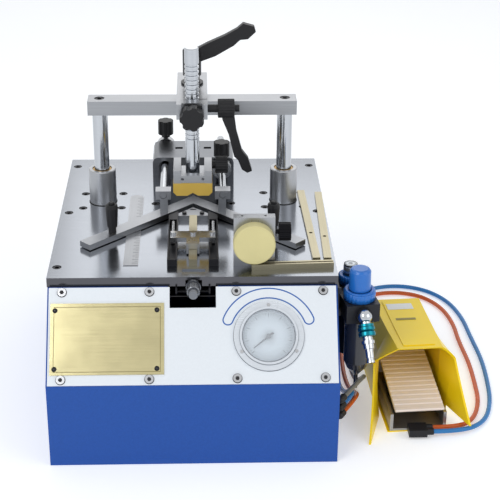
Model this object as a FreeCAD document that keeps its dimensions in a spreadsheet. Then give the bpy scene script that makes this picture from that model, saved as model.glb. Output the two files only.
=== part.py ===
"""Picture frame underpinner: a bench V-nailer with a foot pedal, built as separate named pieces.

Lengths are in millimetres. X points to the machine's right, Y to its back and Z up, with the
origin on the floor below the middle of the cabinet. Every size sits in one spreadsheet.
"""
import FreeCAD
import Part
import Sketcher
import math
import os
import re
from types import SimpleNamespace

Vec = FreeCAD.Vector
Rot = FreeCAD.Rotation
Plm = FreeCAD.Placement
UP = Vec(0, 0, 1)

SIZES = {
    # Cabinet
    "cab_half": 174.0,
    "cab_front": -230.0,
    "cab_back": 230.0,
    "cab_top": 202.0,
    "cab_lip": 110.0,
    "cab_break": -154.0,
    "sheet_t": 2.0,
    "rim": 20.0,
    "slope_rim": 12.0,
    # Sloped panel, plate and gauge
    "panel_half": 172.0,
    "panel_len": 118.0,
    "panel_t": 2.5,
    "gauge_x": 90.0,
    "gauge_s": 61.5,
    "gauge_r": 34.0,
    "gauge_flange": 42.0,
    "glass_r": 32.0,
    # Top plate and guides
    "plate_half": 175.0,
    "plate_front": -152.0,
    "plate_top": 214.0,
    "guide_x": 121.0,
    "guide_y": 80.0,
    "column_r": 10.0,
    "bush_r": 12.7,
    "sleeve_bore": 13.0,
    "sleeve_neck": 14.7,
    "sleeve_r": 18.0,
    "sleeve_top": 261.5,
    "sleeve_low": 150.0,
    "yoke_low": 60.0,
    "yoke_top": 80.0,
    "beam_half": 136.0,
    "beam_deep": 14.0,
    "beam_low": 340.5,
    "beam_top": 359.5,
    # Arm, shaft and head
    "arm_half": 19.5,
    "arm_front": -3.0,
    "arm_back": 125.0,
    "arm_top": 379.5,
    "shaft_y": 17.0,
    "shaft_r": 9.0,
    "shaft_top": 447.0,
    "stud_r": 5.0,
    "washer_r": 14.4,
    "head_half": 24.5,
    "head_front": -8.0,
    "head_back": 39.0,
    "head_low": 275.4,
    "head_top": 292.3,
    "pad_low": 258.3,
    "pad_half": 25.0,
    # Fence
    "fence_apex": 50.0,
    "fence_reach": 128.0,
    "fence_wide": 13.22,
    "fence_low": 215.2,
    "fence_top": 222.5,
    "rod_x": 38.5,
    "rod_z": 250.3,
    "rod_r": 5.0,
    "rod_end": 215.0,
    "bridge_half": 55.0,
    "bridge_front": 115.0,
    "bridge_back": 178.0,
    "bridge_top": 262.0,
    "collar_r": 13.0,
    "knob_r": 11.0,
    # Air unit
    "reg_half": 20.75,
    "reg_low": 154.0,
    "reg_top": 178.0,
    "ring_r": 18.0,
    "dial_r": 13.0,
    "bowl_r": 16.5,
    "tube_r": 3.0,
    # Foot pedal
    "tray_half": 36.0,
    "guard_t": 2.6,
    "tread_half": 33.0,
}

doc = FreeCAD.newDocument("underpinner")
sheet = doc.addObject("Spreadsheet::Sheet", "sizes")
rows = iter(range(1, 2000))


def store(name, value):
    """Write one named number into the sheet."""
    row = next(rows)
    sheet.set(f"A{row}", name)
    sheet.set(f"B{row}", str(value))
    sheet.setAlias(f"B{row}", name)
    SIZES[name] = value


for size_name, size_value in list(SIZES.items()):
    store(size_name, size_value)
d = SimpleNamespace(**SIZES)


def ex(text):
    """Point each known size name in an expression at the sheet."""
    def swap(match):
        word = match.group()
        return "sizes." + word if word in SIZES else word
    return re.sub(r"[a-z][a-z0-9_]*", swap, text)


def bind(obj, prop, value):
    """Set a property from an expression on the sheet or from a plain number."""
    if isinstance(value, str):
        obj.setExpression(prop, ex(value))
    else:
        setattr(obj, prop, value)


def slab(name, *bounds):
    """Box between six named bounds: left, right, front, back, low, high."""
    ends = ("left", "right", "front", "back", "low", "high")
    terms = []
    for end, bound in zip(ends, bounds):
        if isinstance(bound, str):
            terms.append(f"({bound})")
        else:
            store(f"{name}_{end}", round(float(bound), 4))
            terms.append(f"{name}_{end}")
    obj = doc.addObject("Part::Box", name + "_box")
    for k, prop in enumerate(("Length", "Width", "Height")):
        obj.setExpression(prop, ex(f"{terms[2 * k + 1]} - {terms[2 * k]}"))
    for k, way in enumerate("xyz"):
        obj.setExpression(f".Placement.Base.{way}", ex(terms[2 * k]))
    return obj


def rod(name, axis, u, v, start, end, radius):
    """Cylinder along an axis; u and v are the other two coordinates in order."""
    terms = []
    for key, number in (("u", u), ("v", v), ("from", start), ("to", end), ("r", radius)):
        if isinstance(number, str):
            terms.append(f"({number})")
        else:
            store(f"{name}_{key}", round(float(number), 4))
            terms.append(f"{name}_{key}")
    obj = doc.addObject("Part::Cylinder", name + "_rod")
    obj.setExpression("Radius", ex(terms[4]))
    obj.setExpression("Height", ex(f"{terms[3]} - {terms[2]}"))
    way = {"x": Vec(1, 0, 0), "y": Vec(0, 1, 0), "z": UP}[axis]
    obj.Placement = Plm(Vec(), Rot(UP, way))
    base = {"x": (2, 0, 1), "y": (0, 2, 1), "z": (0, 1, 2)}[axis]
    for letter, pick in zip("xyz", base):
        obj.setExpression(f".Placement.Base.{letter}", ex(terms[pick]))
    return obj


def polygon_sketch(body, plane, points):
    """Closed polygon sketch, each corner held by two distances."""
    support = [f for f in body.Origin.OriginFeatures if f.Role == plane][0]
    sketch = body.newObject("Sketcher::SketchObject", "Sketch")
    sketch.AttachmentSupport = [(support, "")]
    sketch.MapMode = "FlatFace"
    flat = []
    for point in points:
        flat.append([float(sheet_value(c)) for c in point])
    count = len(flat)
    for i in range(count):
        a = flat[i]
        b = flat[(i + 1) % count]
        sketch.addGeometry(Part.LineSegment(Vec(a[0], a[1], 0), Vec(b[0], b[1], 0)), False)
    for i in range(count):
        sketch.addConstraint(Sketcher.Constraint("Coincident", i, 2, (i + 1) % count, 1))
    for i, point in enumerate(points):
        for kind, value in zip(("DistanceX", "DistanceY"), point):
            number = float(sheet_value(value))
            index = sketch.addConstraint(Sketcher.Constraint(kind, i, 1, number))
            if isinstance(value, str):
                sketch.renameConstraint(index, f"{kind}{i}")
                sketch.setExpression(f"Constraints.{kind}{i}", ex(value))
    return sketch


def sheet_value(text):
    """Number behind a plus-and-minus expression of size names."""
    if not isinstance(text, str):
        return text
    total = 0.0
    for sign, word in re.findall(r"([+-]?)\s*([a-z0-9_.]+)", text):
        number = SIZES[word] if word in SIZES else float(word)
        total += -number if sign == "-" else number
    return total


def prism(name, plane, points, length, middle=0.0):
    """Pad a polygon evenly to both sides of a plane, then shift it along the normal."""
    body = doc.addObject("PartDesign::Body", name + "_body")
    sketch = polygon_sketch(body, plane, points)
    pad = body.newObject("PartDesign::Pad", "Pad")
    pad.Profile = sketch
    pad.SideType = "Symmetric"
    bind(pad, "Length", length)
    body.Tip = pad
    letter = {"XY_Plane": "z", "XZ_Plane": "y", "YZ_Plane": "x"}[plane]
    if isinstance(middle, str):
        body.setExpression(f".Placement.Base.{letter}", ex(middle))
    else:
        spot = {"x": Vec(middle, 0, 0), "y": Vec(0, middle, 0), "z": Vec(0, 0, middle)}
        body.Placement = Plm(spot[letter], Rot())
    return body


def lathe(name, points, x=0.0, y=0.0, z=0.0):
    """Turn a half profile of radius and height about the upright axis."""
    body = doc.addObject("PartDesign::Body", name + "_body")
    sketch = polygon_sketch(body, "XZ_Plane", points)
    turn = body.newObject("PartDesign::Revolution", "Turn")
    turn.Profile = sketch
    turn.ReferenceAxis = (sketch, ["V_Axis"])
    turn.Angle = 360
    body.Tip = turn
    for letter, value in zip("xyz", (x, y, z)):
        if isinstance(value, str):
            body.setExpression(f".Placement.Base.{letter}", ex(value))
        elif value:
            body.setExpression(f".Placement.Base.{letter}", str(value))
    return body


def fuse(*items):
    """Join pieces into one object; they may also stay apart."""
    if len(items) == 1:
        return items[0]
    obj = doc.addObject("Part::MultiFuse", "join")
    obj.Shapes = list(items)
    obj.Refine = True
    return obj


def cut(base, *tools):
    """Take tools away from a base piece."""
    obj = doc.addObject("Part::Cut", "cut")
    obj.Base = base
    obj.Tool = fuse(*tools)
    obj.Refine = True
    return obj


def wrap(shape, name):
    """Hold a computed shape as a feature."""
    obj = doc.addObject("Part::Feature", name)
    obj.Shape = shape
    return obj


NODES = {}


def node(name, obj, spot=None):
    """Name a finished piece, and move it when it was drawn in a local frame."""
    if spot is not None and any(rule[0].startswith(".Placement") for rule in obj.ExpressionEngine):
        held = doc.addObject("Part::Compound", name + "_held")
        held.Links = [obj]
        obj = held
    if spot is not None:
        obj.Placement = spot
    obj.Label = name
    NODES[name] = obj
    return obj


def sockets(spots, name, top, radius, deep):
    """Six-sided sockets sunk from a height at several spots."""
    made = []
    for k, (x, y) in enumerate(spots):
        obj = doc.addObject("Part::Prism", f"{name}_hex{k}")
        obj.Polygon = 6
        obj.Circumradius = radius
        obj.Height = deep
        obj.Placement = Plm(Vec(x, y, top - deep), Rot())
        made.append(obj)
    return made


def fluted(name, radius, low, high, count, groove, bite):
    """Upright round knob with lengthwise grooves round its rim."""
    rim = radius - 0.8
    base = lathe(name, [(0, low), (rim, low), (radius, low + 0.8), (radius, high - 0.8),
                        (rim, high), (0, high)])
    tools = []
    for k in range(count):
        angle = 2 * math.pi * k / count
        reach = radius + groove - bite
        spot = (reach * math.cos(angle), reach * math.sin(angle))
        tools.append(rod(f"{name}_groove{k}", "z", spot[0], spot[1], low - 1, high + 1, groove))
    return cut(base, *tools)


# Sloped frame: X along the panel, Y up the slope, Z out of it, origin on the fold.
rise = math.degrees(math.atan2(d.cab_top - d.cab_lip, d.cab_break - d.cab_front))
SLOPE = Plm(Vec(0, d.cab_break, d.cab_top), Rot(Vec(1, 0, 0), rise))
slope_len = math.hypot(d.cab_top - d.cab_lip, d.cab_break - d.cab_front)
AIR = Plm(Vec(203, -140, 0), Rot(UP, 9))
PEDAL = Plm(Vec(276, -80, 0), Rot(UP, 4))

# Cabinet shell with its folded rims
outer = prism("cabinet", "YZ_Plane", [
    ("cab_front", 0), ("cab_back", 0), ("cab_back", "cab_top"),
    ("cab_break", "cab_top"), ("cab_front", "cab_lip")], "cab_half * 2")
run = (d.cab_break - d.cab_front) / slope_len
climb = (d.cab_top - d.cab_lip) / slope_len
top_in = d.cab_break + d.sheet_t * climb - (d.sheet_t - d.sheet_t * run) * run / climb
lip_in = d.cab_top - d.sheet_t * run - (d.cab_break + d.sheet_t * climb - d.cab_front
                                       - d.sheet_t) * climb / run
store("cab_break_in", round(top_in, 3))
store("cab_lip_in", round(lip_in, 3))
inner = prism("hollow", "YZ_Plane", [
    ("cab_front + sheet_t", "sheet_t"), ("cab_back - sheet_t", "sheet_t"),
    ("cab_back - sheet_t", "cab_top - sheet_t"), ("cab_break_in", "cab_top - sheet_t"),
    ("cab_front + sheet_t", "cab_lip_in")], "cab_half * 2 - sheet_t * 2")
floor_gap = slab("floor_gap", "0 - cab_half + rim", "cab_half - rim", "cab_front + rim",
                 "cab_back - rim", -1, 3)
top_gap = slab("top_gap", "0 - cab_half + rim + 2", "cab_half - rim - 2", "cab_break + rim",
               "cab_back - rim", 199, 203)
front_notch = slab("front_notch", -30, 30, -161, -132, 188, 203)
slope_gap = slab("slope_gap", -152, 152, -107.3, -12, -4, 1)
for letter in "xyz":
    slope_gap.setExpression(f".Placement.Base.{letter}", None)
slope_gap.Placement = SLOPE.multiply(Plm(Vec(-152, -107.3, -4), Rot()))
panel_spots = [(x, -s) for s in (6.3, 111.7) for x in (-156.4, -52.0, 52.0, 156.4)]
plate_corners = [(side * x, y) for side in (-1, 1)
                 for x, y in ((165.0, 203.0), (164.0, 41.0), (165.0, -122.0))]
guide_bolts = [(side * (d.guide_x + dx), d.guide_y + dy) for side in (-1, 1)
               for dx in (-25.5, 25.5) for dy in (-24.0, 24.0)]
inner_bolts = [(-50.5, 69.0), (50.5, 69.0)]
rim_holes = [rod(f"rim_hole{k}", "z", x, y, 198, 204, 3.4)
             for k, (x, y) in enumerate(plate_corners)]
panel_tool = fuse(*[rod(f"panel_hole{k}", "z", x, y, -6, 4, 2.3)
                    for k, (x, y) in enumerate(panel_spots)])
panel_tool.Placement = SLOPE
EXIT_Y = -200.0
EXIT_Z = (69.0, 58.6, 47.0)
exit_holes = [rod(f"exit_hole{k}", "x", EXIT_Y, z, 171, 175, 3.9) for k, z in enumerate(EXIT_Z)]
shell = cut(outer, inner, floor_gap, top_gap, front_notch, slope_gap, panel_tool,
            *rim_holes, *exit_holes)
node("cabinet_shell", shell)
cover_low = slab("cover_low", "0.3 - cab_half + rim", "cab_half - rim - 0.3",
                 "cab_front + rim + 0.3", "cab_back - rim - 0.3", 0, "sheet_t")
cover_top = slab("cover_top", "1.5 - cab_half + sheet_t", "cab_half - sheet_t - 1.5",
                 "cab_front + sheet_t + 2", "cab_back - sheet_t - 2", "sheet_t", "sheet_t * 2")
node("base_cover", fuse(cover_low, cover_top))

# Sloped front panel, plate and gauge, drawn flat
panel = slab("front_panel", "0 - panel_half", "panel_half", "0 - panel_len - 0.5", -0.5, 0,
             "panel_t")
plate_spots = [(x, -s) for s in (28.5, 99.0) for x in (-164.0, -43.0)]
gauge_spots = [(d.gauge_x + 37.5 * math.cos(math.radians(a)),
                -d.gauge_s + 37.5 * math.sin(math.radians(a))) for a in (90, 210, 330)]
panel_holes = [rod(f"panel_bore{k}", "z", x, y, -1, 4, 2.3)
               for k, (x, y) in enumerate(panel_spots)]
small_holes = [rod(f"small_bore{k}", "z", x, y, -1, 6, 1.3)
               for k, (x, y) in enumerate(plate_spots + gauge_spots)]
access = slab("access", -28, 27.5, -26.2, 2, -1, 4)
gauge_hole = rod("gauge_hole", "z", "gauge_x", "0 - gauge_s", -1, 4, "gauge_r + 0.6")
node("front_panel", cut(panel, access, gauge_hole, *panel_holes, *small_holes), SLOPE)
badge = slab("name_plate", -169.5, -34.6, -106.2, -20, "panel_t", "panel_t + 1.2")
line_out = slab("line_out", -165.5, -38.6, -103, -24, 3.4, 4)
line_in = slab("line_in", -164.7, -39.4, -102.2, -24.8, 3.3, 4.1)
badge_holes = [rod(f"badge_bore{k}", "z", x, y, 2, 5, 1.3)
               for k, (x, y) in enumerate(plate_spots)]
node("name_plate", cut(badge, cut(line_out, line_in), *badge_holes), SLOPE)
screw_parts = []
for k, (x, y) in enumerate(panel_spots):
    screw_parts.append(rod(f"panel_head{k}", "z", x, y, "panel_t", "panel_t + 2.2", 5.2))
    screw_parts.append(rod(f"panel_shank{k}", "z", x, y, -4, "panel_t", 2.0))
for k, (x, y) in enumerate(plate_spots):
    screw_parts.append(rod(f"badge_head{k}", "z", x, y, "panel_t + 1.2", "panel_t + 2.4", 2.4))
    screw_parts.append(rod(f"badge_shank{k}", "z", x, y, 0.2, "panel_t + 1.2", 1.0))
for k, (x, y) in enumerate(gauge_spots):
    screw_parts.append(rod(f"gauge_head{k}", "z", x, y, "panel_t + 3", "panel_t + 4.2", 2.1))
    screw_parts.append(rod(f"gauge_shank{k}", "z", x, y, 0.2, "panel_t + 3", 1.0))
panel_dips = [rod(f"panel_dip{k}", "z", x, y, "panel_t + 1.2", "panel_t + 3", 2.6)
              for k, (x, y) in enumerate(panel_spots)]
node("panel_screws", cut(fuse(*screw_parts), *panel_dips), SLOPE)
GAUGE = SLOPE.multiply(Plm(Vec(d.gauge_x, -d.gauge_s, 0), Rot()))
gauge = lathe("gauge", [
    (0, -26), ("gauge_r", -26), ("gauge_r", "panel_t"), ("gauge_flange", "panel_t"),
    ("gauge_flange", 5.5), (35, 5.5), (35, 8), ("glass_r + 0.3", 8), ("glass_r + 0.3", 4),
    (30.5, 4), (30.5, 0), (1.05, 0), (1.05, -3.2), (0, -3.2)])
gauge_holes = [rod(f"flange_bore{k}", "z", x - d.gauge_x, y + d.gauge_s, 2, 6, 1.3)
               for k, (x, y) in enumerate(gauge_spots)]
node("gauge_case", cut(gauge, *gauge_holes), GAUGE)
node("gauge_glass", rod("gauge_glass", "z", 0, 0, 4, 6.5, "glass_r"), GAUGE)
hub = rod("pointer_hub", "z", 0, 0, 0.6, 3.0, 3)
pin = rod("pointer_pin", "z", 0, 0, -3, 0.6, 1)
hand = prism("pointer", "XY_Plane", [(-1.4, -7), (1.4, -7), (0.5, 23), (-0.5, 23)], 0.8, 1.6)
POINTER = GAUGE.multiply(Plm(Vec(), Rot(UP, 128)))
node("gauge_pointer", fuse(hub, pin, hand), POINTER)

# Top plate with its bolts
plate = slab("top_plate", "0 - plate_half", "plate_half", "plate_front", "cab_back", "cab_top",
             "plate_top")
all_bolts = plate_corners + guide_bolts + inner_bolts
bores = []
for k, (x, y) in enumerate(all_bolts):
    bores.append(rod(f"bolt_bore{k}", "z", x, y, 201, 215, 3.4))
    bores.append(rod(f"bolt_seat{k}", "z", x, y, "plate_top - 5.5", 215, 5.6))
neck_holes = [rod(f"neck_hole{k}", "z", f"{sign}guide_x", "guide_y", 201, 215,
                  "sleeve_neck + 0.3") for k, sign in enumerate(("0 - ", "0 + "))]
notch = slab("plate_notch", -9, 11, -153, -110, 201, 210)
recess = slab("plate_recess", -13, 15, -148, -130, 212, 215)
blade_gap = slab("blade_gap", -4.1, 4.1, 31.9, 35.1, 201, 215)
head_bolts = [(-11.5, 20.0), (11.5, 20.0)]
head_bores = [rod(f"head_bore{k}", "z", x, y, 205, 215, 1.8)
              for k, (x, y) in enumerate(head_bolts)]
node("top_plate", cut(plate, notch, recess, blade_gap, *bores, *neck_holes, *head_bores))
bolt_parts = []
for k, (x, y) in enumerate(all_bolts):
    bolt_parts.append(rod(f"bolt_head{k}", "z", x, y, "plate_top - 5.5", "plate_top - 0.5", 5))
    bolt_parts.append(rod(f"bolt_shank{k}", "z", x, y, 193, "plate_top - 5.5", 3))
for k, (x, y) in enumerate(head_bolts):
    bolt_parts.append(rod(f"small_head{k}", "z", x, y, 221, 223, 3))
    bolt_parts.append(rod(f"small_shank{k}", "z", x, y, 206, 221, 1.5))
hexes = sockets(all_bolts, "bolt", d.plate_top + 0.5, 2.9, 3.6)
node("plate_screws", cut(fuse(*bolt_parts), *hexes))

# Guide sleeves with clamp flanges below the plate, bushes, columns and both cross pieces
sleeve_parts = []
bush_parts = []
column_parts = []
for side, sign in (("left", "0 - "), ("right", "0 + ")):
    sleeve_parts.append(lathe(f"sleeve_{side}", [
        ("sleeve_bore", "sleeve_low"), ("sleeve_neck", "sleeve_low"),
        ("sleeve_neck", "plate_top"), ("sleeve_r", "plate_top"), ("sleeve_r", "sleeve_top - 1"),
        ("sleeve_r - 1", "sleeve_top"), ("sleeve_bore", "sleeve_top")],
        f"{sign}guide_x", "guide_y"))
    flange = slab(f"flange_{side}", f"{sign}guide_x - 30", f"{sign}guide_x + 30", "guide_y - 29",
                  "guide_y + 29", "cab_top - 12", "cab_top")
    gap = rod(f"flange_gap_{side}", "z", f"{sign}guide_x", "guide_y", 189, 203,
              "sleeve_neck + 0.3")
    flange_bores = [rod(f"flange_{side}_bore{k}", "z", x, y, 189, 203, 3.4)
                    for k, (x, y) in enumerate(guide_bolts) if (x > 0) == (side == "right")]
    sleeve_parts.append(cut(flange, gap, *flange_bores))
    bush_parts.append(lathe(f"bush_{side}", [
        ("column_r + 0.05", "sleeve_low - 1.5"), ("sleeve_neck", "sleeve_low - 1.5"),
        ("sleeve_neck", "sleeve_low"), ("bush_r", "sleeve_low"), ("bush_r", "sleeve_top - 1"),
        ("column_r + 0.05", "sleeve_top - 1")], f"{sign}guide_x", "guide_y"))
    column = rod(f"column_{side}", "z", f"{sign}guide_x", "guide_y", "yoke_top", "beam_low",
                 "column_r")
    top_tap = rod(f"column_tap_{side}", "z", f"{sign}guide_x", "guide_y", 318, 341, 4.3)
    column_parts.append(cut(column, top_tap))
node("guide_sleeves", fuse(*sleeve_parts))
node("guide_bushes", fuse(*bush_parts))
node("guide_columns", fuse(*column_parts))
beam = slab("crossbar", "0 - beam_half", "beam_half", "guide_y - beam_deep",
            "guide_y + beam_deep", "beam_low", "beam_top")
key = slab("arm_key", -5.2, 5.2, "guide_y - beam_deep", "guide_y + beam_deep", "beam_top",
           "beam_top + 4")
beam_tools = [rod("stud_seat", "z", 0, "guide_y", 345, 365, "stud_r + 0.3")]
for side, sign in (("left", "0 - "), ("right", "0 + ")):
    beam_tools.append(rod(f"beam_bore_{side}", "z", f"{sign}guide_x", "guide_y", 340, 360, 4.3))
    beam_tools.append(rod(f"beam_sink_{side}", "z", f"{sign}guide_x", "guide_y", 352.5, 360, 6.6))
node("crossbar", cut(fuse(beam, key), *beam_tools))
fixings = []
for side, sign in (("left", "0 - "), ("right", "0 + ")):
    head = rod(f"beam_head_{side}", "z", f"{sign}guide_x", "guide_y", 352.5, 358.8, 6)
    hexa = sockets([((-1 if side == "left" else 1) * d.guide_x, d.guide_y)],
                   f"beam_{side}", 359, 3.4, 4)
    fixings.append(cut(head, *hexa))
    fixings.append(rod(f"beam_shank_{side}", "z", f"{sign}guide_x", "guide_y", 320, 352.5, 4))
fixings.append(rod("arm_stud", "z", 0, "guide_y", 345, 425, "stud_r"))
washer = rod("washer", "z", 0, "guide_y", "arm_top + 0.05", "arm_top + 2.5", "washer_r")
fixings.append(cut(washer, rod("washer_hole", "z", 0, "guide_y", 379, 383, "stud_r - 0.2")))
node("crossbar_fixings", fuse(*fixings))
yoke = slab("lower_yoke", "0 - beam_half", "beam_half", "guide_y - beam_deep",
            "guide_y + beam_deep", "yoke_low", "yoke_top")
node("lower_yoke", fuse(yoke, rod("clamp_rod", "z", 0, "guide_y", 34, "yoke_low", 6),
                        rod("clamp_piston", "z", 0, "guide_y", 26, 34, 19.9)))
clamp_cup = lathe("clamp_cup", [
    (0, 4), (25, 4), (25, 42), (6.1, 42), (6.1, 38), (20, 38), (20, 8), (0, 8)], 0, "guide_y")

# Nail drive: cylinder hung below the plate, piston with its blade, and the driver head
drive = lathe("drive", [
    (0, 96), (31, 96), (31, 170), (22, 170), (22, 202), (12, 202), (12, 172), (5.1, 172),
    (5.1, 166), (25, 166), (25, 100), (0, 100)], 0, 30)
node("air_cylinders", fuse(clamp_cup, drive))
blade = slab("blade", -4, 4, 32, 35, 178, 200)
tie = slab("blade_tie", -4, 4, 26, 35, 174, 180)
node("driver_blade", fuse(blade, tie, rod("drive_rod", "z", 0, 30, 110, 176, 5),
                          rod("drive_piston", "z", 0, 30, 104, 112, 24.9)))
anvil = prism("driver_head", "XY_Plane", [
    (-19.2, 13), (19.2, 13), (19.2, 21), (0, 40.2), (-19.2, 21)], 7, "plate_top + 3.5")
anvil_gap = slab("anvil_gap", -4.1, 4.1, 31.9, 35.1, 213, 222)
anvil_bores = [rod(f"anvil_bore{k}", "z", x, y, 213, 222, 1.8)
               for k, (x, y) in enumerate(head_bolts)]
node("driver_head", cut(anvil, anvil_gap, *anvil_bores))

# Magazine: side channels on the plate, tray below it, rail, pusher, springs and latch pin
mag_parts = []
for side, sign in (("left", -1), ("right", 1)):
    bar = prism(f"channel_{side}", "XY_Plane", [
        (sign * 19.5, -122), (sign * 31.5, -122), (sign * 31.5, 11.5), (sign * 19.5, 23.5)],
        9, "plate_top + 4.5")
    low_x, high_x = sorted((sign * 21, sign * 30))
    slot = slab(f"channel_slot_{side}", low_x, high_x, -121, -3, "plate_top + 1.5", 224)
    mag_parts.append(cut(bar, slot))
tray_floor = slab("tray_floor", -21, 21, -152.5, -60, 194, 196)
tray_left = slab("tray_left", -21, -19, -158, -60, 194, "cab_top")
tray_right = slab("tray_right", 19, 21, -158, -60, 194, "cab_top")
lug = slab("tray_lug", -7, 8, -130, -124, 195, 209)
lug_bore = rod("lug_bore", "y", 0.5, 203, -131, -123, 3.05)
mag_parts.append(cut(fuse(tray_floor, tray_left, tray_right, lug), lug_bore))
node("magazine_body", fuse(*mag_parts))
node("nail_rail", slab("nail_rail", -5, 5, -120, 13, "plate_top", "plate_top + 8"))
pusher_parts = [
    slab("pusher_bar", -28, 28, -73, -53, 223.5, 229.5),
    slab("pusher_block", -5, 5, -91, -73, 222.3, 229.5)]
for side, sign in (("left", -1), ("right", 1)):
    low_x, high_x = sorted((sign * 5.3, sign * 8))
    pusher_parts.append(slab(f"cheek_{side}", low_x, high_x, -91, -73, 216, 229.5))
    pusher_parts.append(slab(f"cheek_top_{side}", min(sign * 4, sign * 8), max(sign * 4, sign * 8),
                             -91, -73, 226, 229.5))
    pusher_parts.append(slab(f"leg_{side}", sign * 25.5 - 2.5, sign * 25.5 + 2.5, -63, -59,
                             217, 223.5))
for k, x in enumerate((-24.5, 0, 24.5)):
    pusher_parts.append(rod(f"pusher_bolt{k}", "z", x, -62, 229.5, 232.5, 3.4))
node("pusher_bar", fuse(*pusher_parts))


def arc_edge(start, tangent, end):
    """Arc that leaves start along a tangent and reaches end."""
    chord = end - start
    unit = Vec(chord).normalize()
    side = tangent - unit * tangent.dot(unit)
    if side.Length < 1e-9:
        return Part.LineSegment(start, end).toShape()
    angle = math.acos(max(-1.0, min(1.0, tangent.dot(unit))))
    sagitta = chord.Length / 2 * math.tan(angle / 2)
    middle = (start + end) * 0.5 + side.normalize() * sagitta
    return Part.Arc(start, middle, end).toShape()


def biarc(p0, t0, p1, t1):
    """Two tangent arcs from one point and direction to another."""
    chord = p1 - p0
    both = t0 + t1
    twist = 2 * (1 - t0.dot(t1))
    lead = chord.dot(both)
    if twist < 1e-9:
        reach = chord.dot(chord) / (2 * lead)
    else:
        reach = (-lead + math.sqrt(lead * lead + twist * chord.dot(chord))) / twist
    joint = (p0 + p1 + (t0 - t1) * reach) * 0.5
    back = arc_edge(p1, t1 * -1, joint)
    back = Part.Arc(joint, back.valueAt((back.FirstParameter + back.LastParameter) / 2), p1)
    return [arc_edge(p0, t0, joint), back.toShape()]


def coil(x, z, start, end, radius, wire, turns):
    """Wound wire along Y with a straight end one wire wide at both ends."""
    steps = turns * 4
    inner_start = start + wire
    pitch = (end - start - 2 * wire) / turns
    spots = []
    ways = []
    for k in range(steps + 1):
        a = 2 * math.pi * k / 4
        spots.append(Vec(x + radius * math.cos(a), inner_start + pitch * k / 4,
                         z + radius * math.sin(a)))
        ways.append(Vec(-radius * math.sin(a), pitch / (2 * math.pi),
                        radius * math.cos(a)).normalize())
    edges = [Part.LineSegment(spots[0] - ways[0] * wire, spots[0]).toShape()]
    for k in range(steps):
        edges += biarc(spots[k], ways[k], spots[k + 1], ways[k + 1])
    edges.append(Part.LineSegment(spots[-1], spots[-1] + ways[-1] * wire).toShape())
    spine = Part.Wire(edges)
    ring = Part.Wire([Part.Circle(spots[0] - ways[0] * wire, ways[0], wire / 2).toShape()])
    shell_maker = Part.BRepOffsetAPI.MakePipeShell(spine)
    shell_maker.add(ring)
    shell_maker.build()
    shell_maker.makeSolid()
    least = math.sqrt(pitch ** 2) - wire
    print(f"spring at x {x}: {turns} curls, least gap to itself {least:.2f} mm")
    return shell_maker.shape()


store("spring_wire", 0.8)
store("spring_r", 2.1)
store("spring_turns", 34)
springs = [coil(x, 219.4, -58.6, -3.3, SIZES["spring_r"], SIZES["spring_wire"],
                SIZES["spring_turns"]) for x in (-25.5, 25.5)]
node("pusher_springs", wrap(Part.makeCompound(springs), "springs"))
knurl = fluted("latch_knurl", 8.2, 5, 19, 14, 1.2, 0.6)
latch = fuse(knurl, lathe("latch", [
    (0, -37), (5, -37), (5, -35), (3, -35), (3, 0), (9, 0), (9, 5), (6.2, 5), (6.2, 24),
    (5.2, 26), (0, 26)]))
LATCH = Plm(Vec(0.5, -153, 203), Rot(UP, Vec(0, -1, 0)))
node("pull_knob", latch, LATCH)
scale_bar = slab("scale_strip", -85, -67, -120, 88, "plate_top", "plate_top + 0.8")
scale_end = rod("scale_end", "z", -76, 88, "plate_top", "plate_top + 0.8", 9)
node("scale_strip", fuse(scale_bar, scale_end))

# Guide bridge with its two slots and running bores
bridge = prism("bridge", "XZ_Plane", [
    ("0 - bridge_half", "plate_top"), ("bridge_half", "plate_top"),
    ("bridge_half", "bridge_top - 7"), ("bridge_half - 2", "bridge_top - 2"),
    ("bridge_half - 7", "bridge_top"), ("7 - bridge_half", "bridge_top"),
    ("2 - bridge_half", "bridge_top - 2"), ("0 - bridge_half", "bridge_top - 7")],
    "bridge_back - bridge_front", 146.5)
bridge_tools = []
for side, sign, s in (("left", "0 - ", -1), ("right", "0 + ", 1)):
    x = s * d.rod_x
    bridge_tools.append(slab(f"bay_{side}", x - 7.5, x + 7.5, 114, 137, 222, 250))
    bridge_tools.append(rod(f"bay_top_{side}", "y", x, 250, 114, 137, 7.5))
    bridge_tools.append(rod(f"bridge_bore_{side}", "y", f"{sign}rod_x", "rod_z", 130, 180,
                            "rod_r + 0.05"))
    low_x, high_x = sorted((s * 14.5, s * 24.7))
    bridge_tools.append(slab(f"top_slot_{side}", low_x, high_x, 147.5, 154.5, 244, 263))
node("guide_bridge", cut(bridge, *bridge_tools))

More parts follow.
